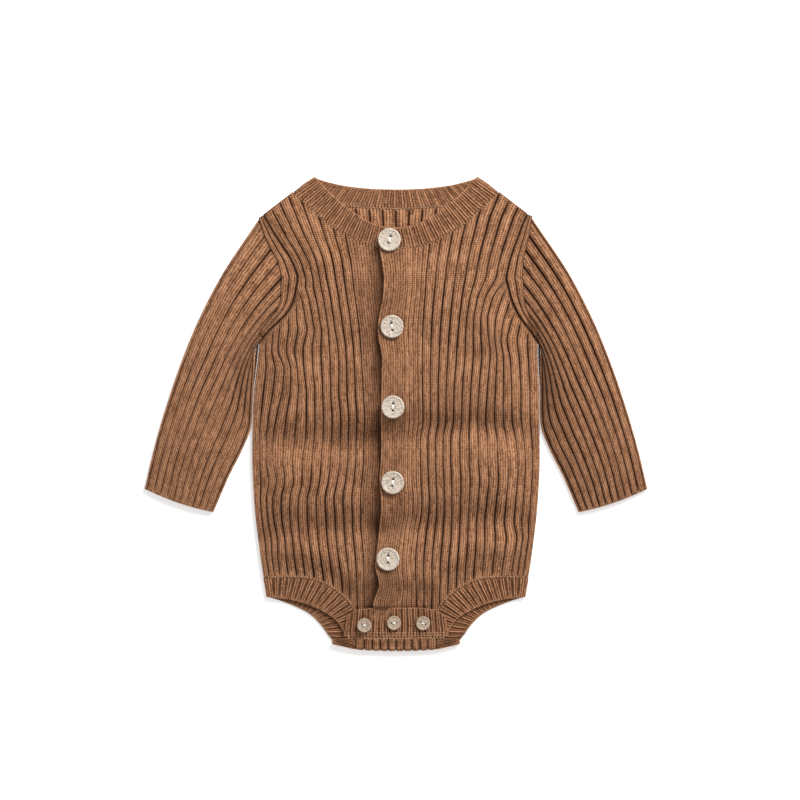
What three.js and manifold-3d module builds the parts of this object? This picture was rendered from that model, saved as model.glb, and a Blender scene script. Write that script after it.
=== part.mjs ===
// A knitted baby bodysuit laid flat: a ribbed back, two ribbed fronts that overlap at a buttoned placket,
// two set-in sleeves, a ribbed neckband, two ribbed leg bands, a crotch band and eight sewn-on buttons.
// Millimetres. +X is the wearer's left, +Y runs from the crotch to the neck and +Z is up from the surface
// that the garment lies on. Each layer of cloth lies on the one below it.
import * as THREE from "three";
import Module from "manifold-3d";

// ---- cloth ----
const WALL = 2.0; // knitted cloth, from its plain inside to the crest of a rib
const GROOVE = 0.9; // depth of the groove between two ribs
const FINE_GROOVE = 0.5; // the same between the placket's fine ribs
const GROOVE_SHARE = 0.14; // half a groove's share of one rib
const SEAM = 0.3; // gap between two pieces that are joined or lie on each other
const SEAM_PLAN = 0.7; // the same gap seen from above, where two curved edges meet
const LAYER = WALL + SEAM;
const BACK_Z = WALL / 2; // middle of the layer that lies on the surface
const FRONT_Z = BACK_Z + LAYER; // middle of the layer on it
const TOP_Z = FRONT_Z + LAYER; // middle of the third layer
const EDGE_TURN = LAYER / 2; // radius, at the middle of the wall, of a fold from back to front
const CROTCH_TURN = LAYER; // the same at the crotch, where the front lies inside the fold

// ---- body ----
const SIDE_Q = 112; // half width of the body at its widest, where a rib's own place q is measured
const ARM_Q = 69.5; // the rib that the armhole follows from its narrowest place up to the shoulder
const SIDE_RIBS = 6; // ribs from there to the side seam
const PLACKET_EDGE_Q = -11; // free edge of the front that lies on top
const PLACKET_FINE_Q = 6.9; // where its plain placket ends and the fine ribs beside it start
const PLACKET_FINE_RIBS = 4;
const PLACKET_RIB_Q = 20.3; // where its wide ribs start
const UNDER_EDGE_Q = 2; // hidden edge of the front that lies underneath
const UNDER_RIB_Q = -25.5; // where its ribs start
const PLAIN_STRIPS = 3; // strips of plain cloth at a front's free edge
const FLAP_Q = 35.2; // half width of the back's end, which folds up over the front
const FLAP_RIBS = 5; // ribs on each half of that end
const BACK_RIBS = 6; // the back's ribs from there to the armhole
const ARM_Y = 291; // height of the armhole's narrowest place
const FLAP_TOP = 11; // height of the seam between the folded-up end and the crotch band
const FOLD_RISE = 3.6; // how much higher the crotch's fold lies at this distance from the middle
const FOLD_REACH = 50;
const FRONT_END = 11; // lower end of both fronts, under the crotch band
const RAMP_FROM = 7; // the top front steps down between these two distances from the middle
const RAMP_TO = 14;
const STEP_CLEAR = 2; // the crotch band steps down this much further out
const UNDER_STEP = [-32, -19]; // and between these places beside the top front's free edge
const FLAP_RISE = [4, 10]; // heights between which the folded-up end rises to clear that step
const PUFF = 3.2; // most that the front stands off the back

// Half width of the body at its side seam and at the rib ARM_Q, and how far the inner ribs fan out.
const bodyWidth = [
  { y: 0, side: 98, arm: 60.8, fan: 1 },
  { y: 42, side: 101, arm: 62.7, fan: 1 },
  { y: 77, side: 106, arm: 65.8, fan: 1 },
  { y: 115, side: 110.3, arm: 68.4, fan: 1 },
  { y: 152, side: SIDE_Q, arm: ARM_Q, fan: 1 },
  { y: 200, side: 111, arm: 69.2, fan: 1 },
  { y: 241, side: 108.3, arm: 71.5, fan: 1.04 },
  { y: 258, side: 108.3, arm: 71.5, fan: 1.07 },
  { y: 272, side: 108.3, arm: 73.5, fan: 1.1 },
  { y: 283, side: 108.3, arm: 77.5, fan: 1.14 },
  { y: ARM_Y, side: 108.3, arm: 81.2, fan: 1.17 },
  { y: 300, side: 108.3, arm: 83.5, fan: 1.21 },
  { y: 308, side: 108.3, arm: 86.5, fan: 1.26 },
  { y: 320, side: 108.3, arm: 92.7, fan: 1.35 },
  { y: 338, side: 108.3, arm: 101.5, fan: 1.48 },
  { y: 360, side: 108.3, arm: 114, fan: 1.65 },
];
// The garment lies a little askew: its armholes sit this far towards the wearer's left.
const skew = [
  { y: 190, shift: 0 },
  { y: 241, shift: 2 },
  { y: 256, shift: 3.6 },
  { y: 268, shift: 5.2 },
  { y: 286, shift: 4.8 },
  { y: 300, shift: 4.2 },
  { y: 320, shift: 1.3 },
  { y: 338, shift: -0.8 },
];
// Sideways drift of the ribs beside the placket.
const placketDrift = [
  { y: 10, shift: -5 },
  { y: 70, shift: -4.4 },
  { y: 92, shift: -2 },
  { y: 108, shift: 0.6 },
  { y: 200, shift: 0 },
  { y: 285, shift: 1.6 },
  { y: 320, shift: 0.6 },
];
// The armhole from its narrowest place down to the side seam.
const underarm = [
  { x: 81.2, y: ARM_Y },
  { x: 82.7, y: 283 },
  { x: 85.4, y: 272 },
  { x: 90.2, y: 263 },
  { x: 95.6, y: 256.5 },
  { x: 102, y: 249.5 },
  { x: 108.3, y: 241 },
];
// Front neckline where the neckband is joined on, then the shoulder.
const frontNeck = [
  { x: 0, y: 314 },
  { x: 12, y: 314.8 },
  { x: 27, y: 318 },
  { x: 40, y: 325 },
  { x: 54.5, y: 334 },
  { x: 69, y: 347.5 },
  { x: 80.5, y: 357.8 },
];
const backNeck = [
  { x: 0, y: 345 },
  { x: 25, y: 346 },
  { x: 48, y: 348.5 },
  { x: 66, y: 352.6 },
  { x: 80.5, y: 357.8 },
];
const shoulderTip = { x: 103, y: 340.6 };
// Lower edge of the fronts and of the back where the leg bands are joined on.
const frontLeg = [
  { x: 23.5, y: FRONT_END },
  { x: 26, y: 18 },
  { x: 31, y: 29.5 },
  { x: 37, y: 39 },
  { x: 44, y: 45.6 },
  { x: 54.8, y: 52.6 },
  { x: 68.6, y: 57 },
  { x: 84, y: 58 },
  { x: 106, y: 57.5 },
];
const backLeg = [
  { x: 31, y: 4.8 },
  { x: 36, y: 15 },
  { x: 42, y: 27 },
  { x: 52, y: 39 },
  { x: 70, y: 50.5 },
  { x: 88, y: 56.5 },
  { x: 106, y: 57.5 },
];
// Free edges of the bands.
const frontLegEdge = [
  [98.8, 42],
  [84, 40.2],
  [70, 36.6],
  [57, 31],
  [47.5, 24.5],
  [42, 17],
  [40, 11],
];
const backLegEdge = [
  [98.8, 42],
  [90, 39.2],
  [79, 35],
  [67.5, 29],
  [58.3, 20],
  [53, 12.5],
  [49.8, 8.8],
];
const flapLegEdge = [
  [49.8, 8.8],
  [46.5, 9.6],
  [43, 10.4],
];
const frontNeckEdge = [
  [61.8, 368.4],
  [51, 357.5],
  [40, 347.5],
  [27, 338.3],
  [13.5, 332],
  [0, 330],
  [PLACKET_EDGE_Q + 0.5, 330.4],
];
const backNeckEdge = [
  [61.8, 368.4],
  [54, 366],
  [42, 363.2],
  [23, 360.8],
  [0, 360],
];
// The folds where a band turns from the front to the back, and the way that each turn bulges.
const neckFold = { joined: [79.3, 357.2], free: [61.8, 368.4], out: [0.66, 0.75] };
const legFold = { joined: [101.4, 57.5], free: [98.8, 42], out: [1, 0] };
const LEG_START = 23.8; // where a leg band starts on the front, under the crotch band
const FLAP_SIDE = 31.2; // half width of the back where it folds up
// Soft horizontal creases of the fronts: height at the right side, the middle and the left side.
const creases = [
  { right: 163, middle: 169, left: 175, depth: 0.85, spread: 13 },
  { right: 95, middle: 98, left: 104, depth: 0.9, spread: 12 },
  { right: 236, middle: 246, left: 230, depth: 0.3, spread: 16 },
];
const CREASE_REACH = 90; // distance from the middle where a crease has its height at the side
// How far from the side seams, the neckband and the leg bands the fronts have risen to their full height.
const SIDE_RISE = 30;
const NECK_RISE = 34;
const HEM_RISE = 38;
const HEM_FLAT = 8; // and the stretch above the leg bands that doesn't rise

// ---- sleeves ----
const SLEEVE_RIBS = 10;
const SLEEVE_ROWS = 11;
const SLEEVE_PUFF = 2.6; // most that the upper layer stands off the lower one
const PUFF_FROM = 0.3; // share of the sleeve's length, from the cuff, where it stands off so far
const PUFF_TO = 0.72; // and where it starts to come down to the armhole
const CUFF_BOW = 1.9; // how far the cuff curves out between its two folds
const CUFF_REACH = 0.16; // share of the sleeve's length that follows that curve
const PIT_FROM = 0.92; // share of its length where its inner fold starts to turn down
const ARMHOLE_GAP = 0.91; // gap seen from above between the sleeve and the body
const OUTER_PULL = 3.2; // the higher, the shorter the stretch of sleeve that follows the armhole's curve:
const INNER_PULL = 14; // at the outer fold, and what is added to it at the inner fold
const sleeveOuter = [
  [194.1, 125.8],
  [187.5, 154],
  [177.8, 188],
  [165.6, 224],
  [150.6, 260],
  [132.8, 294],
  [104.2, 336.8],
];
const sleeveInner = [
  [144.2, 108.8],
  [132, 137],
  [121.5, 158],
  [115.2, 174],
  [114, 186],
  [113.6, 200],
  [113, 220],
  [113.3, 243.4],
];
const ARMHOLE_RISE = [1, 0.85, 0.7, 0.55, 0.42, 0.3, 0.18, 0.08]; // where its upper stretch is measured

// ---- bands ----
const NECK_RIBS = { over: 15, back: 23, under: 14 };
const LEG_RIBS = { front: 18, back: 18 };
const CROTCH_RIBS = 18;
const CROTCH_HALF = 41; // half width of the crotch band at its lower edge
const CROTCH_TAPER = 2.5; // how much narrower each half is at the top
const CROTCH_TOP = 34.3;
const CROTCH_DROP = 7; // how far its upper corners are rounded down

// ---- buttons ----
const bigButton = { radius: 9, thick: 2.8, rim: 1.5, dish: 0.5, holeRadius: 0.95, holeGap: 5, sides: 24 };
const smallButton = { radius: 5.5, thick: 2.3, rim: 1, dish: 0.4, holeRadius: 0.65, holeGap: 3.6, sides: 18 };
const BUTTON_SEAT = 0.86; // share of its radius that a button rests on
const BUTTON_BELLY = 0.45; // share of its thickness where it is widest
const buttons = [
  { name: "button_1_neck", kind: bigButton, x: -5.2, y: 320.4, turn: 72 },
  { name: "button_2", kind: bigButton, x: -3.1, y: 252.7, turn: 99 },
  { name: "button_3", kind: bigButton, x: -2.4, y: 190.3, turn: 88 },
  { name: "button_4", kind: bigButton, x: -2.6, y: 131.8, turn: 82 },
  { name: "button_5", kind: bigButton, x: -6.2, y: 72.5, turn: 90 },
  { name: "crotch_button_1", kind: smallButton, x: -24.6, y: 20.7, turn: -15 },
  { name: "crotch_button_2", kind: smallButton, x: -1.6, y: 22.6, turn: 6 },
  { name: "crotch_button_3", kind: smallButton, x: 21, y: 22.2, turn: -26 },
];

const KNIT = new THREE.MeshStandardMaterial({ color: 0x8f6446, roughness: 0.95, metalness: 0 });
const BUTTON = new THREE.MeshStandardMaterial({ color: 0xd8c8b4, roughness: 0.6, metalness: 0 });

// ---- small helpers ----
const mix = (a, b, t) => a + (b - a) * t;
const clamp01 = (t) => Math.min(1, Math.max(0, t));
function smooth(from, to, value) {
  const t = clamp01((value - from) / (to - from));
  return t * t * (3 - 2 * t);
}

// A smooth curve through a table's rows: the value of column `out` where column `key` is `at`.
function read(table, key, out, at) {
  const last = table.length - 1;
  if (at <= table[0][key]) return table[0][out];
  if (at >= table[last][key]) return table[last][out];
  let i = 0;
  while (table[i + 1][key] < at) i++;
  const slope = (a, b) => (table[b][out] - table[a][out]) / (table[b][key] - table[a][key]);
  const width = table[i + 1][key] - table[i][key];
  const here = slope(i, i + 1);
  const bend = (other) => (other * here <= 0 ? 0 : (2 * other * here) / (other + here));
  const start = i > 0 ? bend(slope(i - 1, i)) : here;
  const end = i + 1 < last ? bend(slope(i + 1, i + 2)) : here;
  const t = (at - table[i][key]) / width;
  return (
    table[i][out] * (1 + 2 * t) * (1 - t) ** 2 +
    table[i + 1][out] * t * t * (3 - 2 * t) +
    width * (start * t * (1 - t) ** 2 - end * t * t * (1 - t))
  );
}

// A smooth line in plan through a few points; at(s) runs from 0 to 1 by length.
function line(points) {
  const curve = new THREE.CatmullRomCurve3(points.map(([x, y]) => new THREE.Vector3(x, y, 0)));
  return (s) => curve.getPointAt(clamp01(s));
}

// The height that makes `error` zero between two heights.
function solve(low, high, error) {
  for (let step = 0; step < 40; step++) {
    const middle = (low + high) / 2;
    if (error(middle) < 0) low = middle;
    else high = middle;
  }
  return (low + high) / 2;
}

// ---- the body's plan ----
// The place across the body, at height y, of the rib that is q from the middle at the widest level.
const skewAt = (q, y) => read(skew, "y", "shift", y) * smooth(10, 75, Math.abs(q));
function straightX(q, y) {
  const side = read(bodyWidth, "y", "side", y);
  const arm = read(bodyWidth, "y", "arm", y);
  const out = Math.abs(q);
  if (out > ARM_Q) return Math.sign(q) * mix(arm, side, (out - ARM_Q) / (SIDE_Q - ARM_Q));
  const scale = (side / SIDE_Q) * read(bodyWidth, "y", "fan", y);
  return q * scale + Math.sign(q) * (arm - ARM_Q * scale) * (out / ARM_Q) ** 3;
}
function ribX(q, y) {
  const drift = read(placketDrift, "y", "shift", y) * Math.max(0, 1 - Math.abs(q) / 70);
  return straightX(q, y) + skewAt(q, y) + drift;
}
function topEdge(neck, x) {
  const across = Math.abs(x);
  const corner = neck[neck.length - 1];
  if (across <= corner.x) return read(neck, "x", "y", across);
  return mix(corner.y, shoulderTip.y, (across - corner.x) / (shoulderTip.x - corner.x));
}
const ribTop = (neck, q) => solve(ARM_Y, 362, (y) => y - topEdge(neck, ribX(q, y)));
const backTop = (q) => solve(ARM_Y, 362, (y) => y - topEdge(backNeck, straightX(q, y) + skewAt(q, y)));
function ribMiddle(q) {
  if (Math.abs(q) <= ARM_Q) return ARM_Y;
  return solve(230, ARM_Y, (y) => y - read(underarm, "x", "y", Math.abs(straightX(q, y))));
}
const ribBottom = (q) => solve(3, 70, (y) => y - read(frontLeg, "x", "y", Math.abs(ribX(q, y))));
const backBottom = (q) => solve(3, 70, (y) => y - read(backLeg, "x", "y", Math.abs(straightX(q, y))));

// ---- how high the cloth lies ----
// The curved edge of the body beside height y.
function bodyHalf(y) {
  const lowest = underarm[underarm.length - 1];
  if (y <= lowest.y) return read(bodyWidth, "y", "side", y);
  if (y >= ARM_Y) return read(bodyWidth, "y", "arm", y);
  return mix(underarm[0].x, lowest.x, smooth(ARM_Y, lowest.y, y));
}
function creaseHeight(crease, x) {
  const share = clamp01(Math.abs(x) / CREASE_REACH);
  return mix(crease.middle, x < 0 ? crease.right : crease.left, share);
}
function puff(x, y) {
  const lowest = Math.max(read(frontLeg, "x", "y", Math.abs(x)), CROTCH_TOP);
  const sides = smooth(0, SIDE_RISE, bodyHalf(y) - Math.abs(x));
  const neck = smooth(0, NECK_RISE, topEdge(frontNeck, x) - y);
  const hem = smooth(HEM_FLAT, HEM_RISE, y - lowest);
  let height = PUFF * sides * neck * hem;
  for (const crease of creases) {
    const off = (y - creaseHeight(crease, x)) / crease.spread;
    height *= 1 - crease.depth * Math.exp(-(off ** 2));
  }
  return height;
}
const underHeight = (x, y) => FRONT_Z + puff(x, y);
const overHeight = (x, y) => underHeight(x, y) + LAYER * smooth(RAMP_TO, RAMP_FROM, x);
// The folded-up end and the crotch band also clear the step where one front lies on the other.
function flapHeight(x, y) {
  const step = smooth(RAMP_TO + STEP_CLEAR, RAMP_FROM + STEP_CLEAR, x) * smooth(...UNDER_STEP, x);
  return TOP_Z + LAYER * step * smooth(...FLAP_RISE, y);
}

// ---- knitted walls ----
// A wall is made of strips side by side. Each lists where its facets start on its outer and inner face.
const FACETS = [0, GROOVE_SHARE, 1 - GROOVE_SHARE];
const THIRDS = [0, 1 / 3, 2 / 3];
const RIB = { outer: FACETS, inner: [0] };
const RIB_INSIDE = { outer: [0], inner: FACETS };
const RIB_BOTH = { outer: FACETS, inner: FACETS };
const PLAIN = { outer: [0], inner: [0] };
const TURN = { outer: THIRDS, inner: THIRDS };
const repeat = (strip, count) => Array(count).fill(strip);

// One closed solid from strips and rows. place(c, v, side) gives the outer (+1) or inner (-1) point at
// strip coordinate c and row value v; holds(i, j) says whether strip i has cloth between rows j and j + 1.
function knitWall({ strips, rows, place, holds = () => true, closed = false }) {
  const points = [];
  const known = new Map();
  const faces = [];
  const vertex = (side, c, j) => {
    const turn = closed ? c % strips.length : c;
    const key = `${side} ${turn.toFixed(5)} ${j}`;
    if (!known.has(key)) {
      known.set(key, points.length);
      points.push(place(turn, rows[j], side));
    }
    return known.get(key);
  };
  const chain = (side, i, j) =>
    [...(side > 0 ? strips[i].outer : strips[i].inner), 1].map((f) => ({ f, id: vertex(side, i + f, j) }));
  // Triangles between two chains of points that run the same way; a quad is split on its shorter diagonal.
  const firstChain = (a, m, b, n) => {
    if (n === b.length - 1) return true;
    if (m === a.length - 1) return false;
    if (Math.abs(a[m + 1].f - b[n + 1].f) > 1e-9) return a[m + 1].f < b[n + 1].f;
    return points[a[m + 1].id].distanceTo(points[b[n].id]) < points[a[m].id].distanceTo(points[b[n + 1].id]);
  };
  const stitch = (a, b, flip) => {
    let m = 0;
    let n = 0;
    while (m < a.length - 1 || n < b.length - 1) {
      const next = firstChain(a, m, b, n);
      const face = next ? [a[m].id, a[++m].id, b[n].id] : [a[m].id, b[n + 1].id, b[n++].id];
      faces.push(flip ? face.reverse() : face);
    }
  };
  const has = (i, j) => {
    const wrapped = closed ? (i + strips.length) % strips.length : i;
    return wrapped >= 0 && wrapped < strips.length && j >= 0 && j < rows.length - 1 && holds(wrapped, j);
  };
  for (let i = 0; i < strips.length; i++)
    for (let j = 0; j < rows.length - 1; j++) {
      if (!has(i, j)) continue;
      stitch(chain(1, i, j), chain(1, i, j + 1), false);
      stitch(chain(-1, i, j), chain(-1, i, j + 1), true);
      if (!has(i, j - 1)) stitch(chain(1, i, j), chain(-1, i, j), true);
      if (!has(i, j + 1)) stitch(chain(1, i, j + 1), chain(-1, i, j + 1), false);
      for (const [step, edge] of [[-1, i], [1, i + 1]]) {
        if (has(i + step, j)) continue;
        const ends = [0, 1].map((f) => ({ f, id: vertex(1, edge, j + f) }));
        const insides = [0, 1].map((f) => ({ f, id: vertex(-1, edge, j + f) }));
        stitch(ends, insides, step > 0);
      }
    }
  return solidFrom(points, faces);
}

function solidFrom(points, faces) {
  const volume = faces.reduce((sum, [a, b, c]) => {
    const edge = new THREE.Vector3().crossVectors(points[b], points[c]);
    return sum + points[a].dot(edge);
  }, 0);
  const geometry = new THREE.BufferGeometry().setFromPoints(points);
  geometry.setIndex(faces.flatMap((face) => (volume < 0 ? [face[0], face[2], face[1]] : face)));
  geometry.computeVertexNormals();
  return geometry;
}

const onGroove = (c) => Math.abs(c - Math.round(c)) < 1e-6;
// How far a face lies from the middle of the wall; ribbed says whether this stretch of it has ribs.
const faceOffset = (c, ribbed, groove = GROOVE) => WALL / 2 - (ribbed && onGroove(c) ? groove : 0);
// The place of strip coordinate c in a list of stops.
function stopAt(stops, c) {
  const i = Math.min(Math.floor(c), stops.length - 2);
  return mix(stops[i], stops[i + 1], c - i);
}
function evenly(from, to, count) {
  return Array.from({ length: count }, (_, i) => mix(from, to, (i + 1) / count));
}

// ---- the pieces of the body ----
const LOWER_ROWS = 12; // rows of a front below the armhole's narrowest place
const UPPER_ROWS = 6; // rows of every panel above it
const BACK_ROWS = 5; // rows of the back below it
const FOLD_ROWS = [-2, -1.5, -1, -2 / 3, -1 / 3]; // rows of its end: up to the seam, then round the fold
const rowsBetween = (from, to, count) => [from, ...evenly(from, to, count)];

// One front: its plain placket, the fine ribs beside it, then ribs to the armhole and on to the side seam.
function frontPanel({ edge, fineFrom, fineRibs, ribsFrom, ribs, side, height }) {
  const stops = [
    edge,
    ...evenly(edge, fineFrom, PLAIN_STRIPS),
    ...evenly(fineFrom, ribsFrom, fineRibs),
    ...evenly(ribsFrom, side * ARM_Q, ribs),
    ...evenly(side * ARM_Q, side * SIDE_Q, SIDE_RIBS),
  ];
  const wideFrom = PLAIN_STRIPS + fineRibs;
  const core = wideFrom + ribs;
  const strips = [...repeat(PLAIN, PLAIN_STRIPS), ...repeat(RIB, fineRibs + ribs + SIDE_RIBS)];
  const place = (c, v, face) => {
    const q = stopAt(stops, c);
    const low = ribBottom(q);
    const middle = ribMiddle(q);
    const y = v <= 1 ? mix(low, middle, v) : mix(middle, ribTop(frontNeck, q), v - 1);
    const x = ribX(q, y);
    const groove = c < wideFrom ? FINE_GROOVE : GROOVE;
    const offset = faceOffset(c, face > 0 && c >= PLAIN_STRIPS, groove);
    return new THREE.Vector3(x, y, height(x, y) + face * offset);
  };
  const rows = [...rowsBetween(0, 1, LOWER_ROWS), ...evenly(1, 2, UPPER_ROWS)];
  return knitWall({ strips, rows, place, holds: (i, j) => j < LOWER_ROWS || i < core });
}

// The back lies on the surface; its narrow end folds round the crotch and up over the fronts.
function backPanel() {
  const half = [
    0,
    ...evenly(0, FLAP_Q, FLAP_RIBS),
    ...evenly(FLAP_Q, ARM_Q, BACK_RIBS),
    ...evenly(ARM_Q, SIDE_Q, SIDE_RIBS),
  ];
  const stops = [...half.slice(1).reverse().map((q) => -q), ...half];
  const strips = stops.slice(1).map((q, i) => (Math.abs(q + stops[i]) / 2 < FLAP_Q ? RIB_BOTH : RIB_INSIDE));
  const place = (c, v, face) => {
    const q = stopAt(stops, c);
    const low = Math.abs(q) <= FLAP_Q ? foldLine(straightX(q, 5)) : backBottom(q);
    const middle = ribMiddle(q);
    if (v >= 0) {
      const y = v <= 1 ? mix(low, middle, v) : mix(middle, backTop(q), v - 1);
      const x = straightX(q, y) + skewAt(q, y);
      return new THREE.Vector3(x, y, BACK_Z - face * faceOffset(c, face < 0));
    }
    return foldedUp(straightX(q, 5), low, FLAP_TOP, -v, face * faceOffset(c, face > 0));
  };
  const rows = [...FOLD_ROWS, ...rowsBetween(0, 1, BACK_ROWS), ...evenly(1, 2, UPPER_ROWS)];
  const armRow = FOLD_ROWS.length + BACK_ROWS;
  const holds = (i, j) => {
    const q = Math.abs(stops[i] + stops[i + 1]) / 2;
    return j < FOLD_ROWS.length ? q < FLAP_Q : j < armRow || q < ARM_Q;
  };
  return knitWall({ strips, rows, place, holds });
}

// The crotch's fold: a half turn of the cloth from the back to the top layer, then up to the seam.
const foldLine = (x) => CROTCH_TURN + WALL / 2 + FOLD_RISE * (Math.abs(x) / FOLD_REACH) ** 2.2;
function foldedUp(x, low, top, share, offset) {
  const turn = Math.PI * Math.min(1, share);
  const reach = CROTCH_TURN + offset;
  const y = low - reach * Math.sin(turn);
  if (share <= 1) return new THREE.Vector3(x, y, BACK_Z + CROTCH_TURN - reach * Math.cos(turn));
  const up = mix(low, top, share - 1);
  return new THREE.Vector3(x, up, flapHeight(x, up) + offset);
}

// ---- bands ----
// A band runs along a joined edge and a free edge. Its legs are flat stretches or half turns:
//   flat: { count, joined(s), free(s), height(x, y), up }   up is +1 where the outer face looks up
//   turn: { joined, free, out, radius, middle, first }      first is +1 where it starts on top
function bandPlace(legs, seam) {
  return (c, v, face) => {
    let leg = 0;
    let start = 0;
    while (leg < legs.length - 1 && c > start + legs[leg].count + 1e-9) start += legs[leg++].count;
    const part = legs[leg];
    const s = clamp01((c - start) / part.count);
    if (part.turn) {
      const joined = new THREE.Vector3(...part.joined, 0);
      const free = new THREE.Vector3(...part.free, 0);
      const base = joined.lerp(free, mix(seam / joined.distanceTo(free), 1, v));
      const reach = part.radius + face * (WALL / 2);
      const out = new THREE.Vector3(...part.out, 0).normalize();
      base.addScaledVector(out, reach * Math.sin(Math.PI * s));
      base.z = part.middle + part.first * reach * Math.cos(Math.PI * s);
      return base;
    }
    const joined = part.joined(s);
    const free = part.free(s);
    const base = joined.lerp(free, mix(seam / joined.distanceTo(free), 1, v));
    base.z = part.height(base.x, base.y) + part.up * face * faceOffset(c, part.up * face > 0);
    return base;
  };
}
const bandStrips = (legs) =>
  legs.flatMap((leg) => (leg.turn ? [TURN] : repeat(leg.up > 0 ? RIB : RIB_INSIDE, leg.count)));
// A half turn between the front and the back at a side of the body.
const sideTurn = (fold, side, first) => ({
  turn: true,
  count: 1,
  joined: [side * fold.joined[0], fold.joined[1]],
  free: [side * fold.free[0], fold.free[1]],
  out: [side * fold.out[0], fold.out[1]],
  radius: EDGE_TURN,
  middle: BACK_Z + EDGE_TURN,
  first,
});
const bandWall = (legs, seam = SEAM_PLAN) =>
  knitWall({ strips: bandStrips(legs), rows: [0, 1], place: bandPlace(legs, seam) });

// A leg band starts at the front of the crotch, turns at the side seam, follows the back and folds up
// over the front with the end of the back.
function legBand(side) {
  const mirrored = (points) => points.map(([x, y]) => [side * x, y]);
  const edgeOf = (table, from, to) => {
    const stations = Array.from({ length: 25 }, (_, i) => mix(from, to, i / 24));
    return mirrored(stations.map((x) => [x, read(table, "x", "y", x)]));
  };
  const foldStart = foldLine(FLAP_SIDE);
  const flapEnd = FLAP_TOP - SEAM_PLAN;
  const legs = [
    {
      count: LEG_RIBS.front,
      joined: line(edgeOf(frontLeg, LEG_START, legFold.joined[0])),
      free: line(mirrored(frontLegEdge).reverse()),
      height: underHeight,
      up: 1,
    },
    sideTurn(legFold, side, 1),
    {
      count: LEG_RIBS.back,
      joined: line([...edgeOf(backLeg, legFold.joined[0], FLAP_SIDE + SEAM), [side * FLAP_SIDE, foldStart]]),
      free: line(mirrored(backLegEdge)),
      height: () => BACK_Z,
      up: -1,
    },
    {
      turn: true,
      count: 1,
      joined: [side * FLAP_SIDE, foldStart],
      free: [side * flapLegEdge[0][0], flapLegEdge[0][1]],
      out: [0, -1],
      radius: CROTCH_TURN,
      middle: BACK_Z + CROTCH_TURN,
      first: -1,
    },
    {
      count: 1,
      joined: line(mirrored([foldStart, mix(foldStart, flapEnd, 0.5), flapEnd].map((y) => [FLAP_SIDE, y]))),
      free: line(mirrored(flapLegEdge)),
      height: flapHeight,
      up: 1,
    },
  ];
  return bandWall(legs);
}

// The neckband runs from the top front's edge round the neck to the hidden edge of the other front.
function neckband() {
  const neckJoin = (table, from, to) =>
    Array.from({ length: 25 }, (_, i) => {
      const x = mix(from, to, i / 24);
      return [x, read(table, "x", "y", Math.abs(x))];
    });
  const flip = (points) => points.map(([x, y]) => [-x, y]);
  const underEdge = frontNeckEdge.filter(([x]) => x > 0).concat([[-UNDER_EDGE_Q, frontNeckEdge.at(-1)[1]]]);
  const backEdge = [...backNeckEdge, ...flip(backNeckEdge).reverse().slice(1)];
  const legs = [
    {
      count: NECK_RIBS.over,
      joined: line(neckJoin(frontNeck, frontNeckEdge.at(-1)[0], neckFold.joined[0])),
      free: line([...frontNeckEdge].reverse()),
      height: overHeight,
      up: 1,
    },
    sideTurn(neckFold, 1, 1),
    {
      count: NECK_RIBS.back,
      joined: line(neckJoin(backNeck, neckFold.joined[0], -neckFold.joined[0])),
      free: line(backEdge),
      height: () => BACK_Z,
      up: -1,
    },
    sideTurn(neckFold, -1, -1),
    {
      count: NECK_RIBS.under,
      joined: line(neckJoin(frontNeck, -neckFold.joined[0], UNDER_EDGE_Q)),
      free: line(flip(underEdge)),
      height: underHeight,
      up: 1,
    },
  ];
  return bandWall(legs);
}

// The crotch band is sewn to the folded-up end of the back and buttons over the fronts.
function crotchBand() {
  const place = (c, v, face) => {
    const across = mix(-1, 1, c / CROTCH_RIBS);
    const low = FLAP_TOP + SEAM;
    const high = CROTCH_TOP - CROTCH_DROP * Math.abs(across) ** 5;
    const x = across * (CROTCH_HALF - CROTCH_TAPER * v);
    const y = mix(low, high, v);
    return new THREE.Vector3(x, y, flapHeight(x, y) + face * faceOffset(c, face > 0));
  };
  return knitWall({ strips: repeat(RIB, CROTCH_RIBS), rows: [0, 0.5, 1], place });
}

// ---- sleeves ----
// A flattened tube: ribs on top, a half turn at the inner edge, the plain layer below and a half turn at
// the outer edge. Its upper end follows the armhole.
const outerLine = line(sleeveOuter);
const innerLine = line(sleeveInner);
const UNDERARM_OUT = new THREE.Vector3(0, -1, 0);
const cuffLine = innerLine(0).sub(outerLine(0)).normalize();
const CUFF_OUT = new THREE.Vector3(-cuffLine.y, cuffLine.x, 0);
// The armhole from the shoulder down to the underarm, moved ARMHOLE_GAP towards the sleeve.
function armhole(side) {
  const high = ribTop(frontNeck, side * ARM_Q);
  const upper = ARMHOLE_RISE.map((rise) => {
    const y = mix(ARM_Y, high, rise);
    return new THREE.Vector3(side * ribX(side * ARM_Q, y), y, 0);
  });
  const lower = underarm.map(({ x, y }) => new THREE.Vector3(x + side * skewAt(SIDE_Q, y), y, 0));
  const curve = new THREE.CatmullRomCurve3([...upper, ...lower]);
  return (s) => {
    const along = curve.getTangentAt(s);
    return curve.getPointAt(s).addScaledVector(new THREE.Vector3(-along.y, along.x, 0), ARMHOLE_GAP);
  };
}
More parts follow.
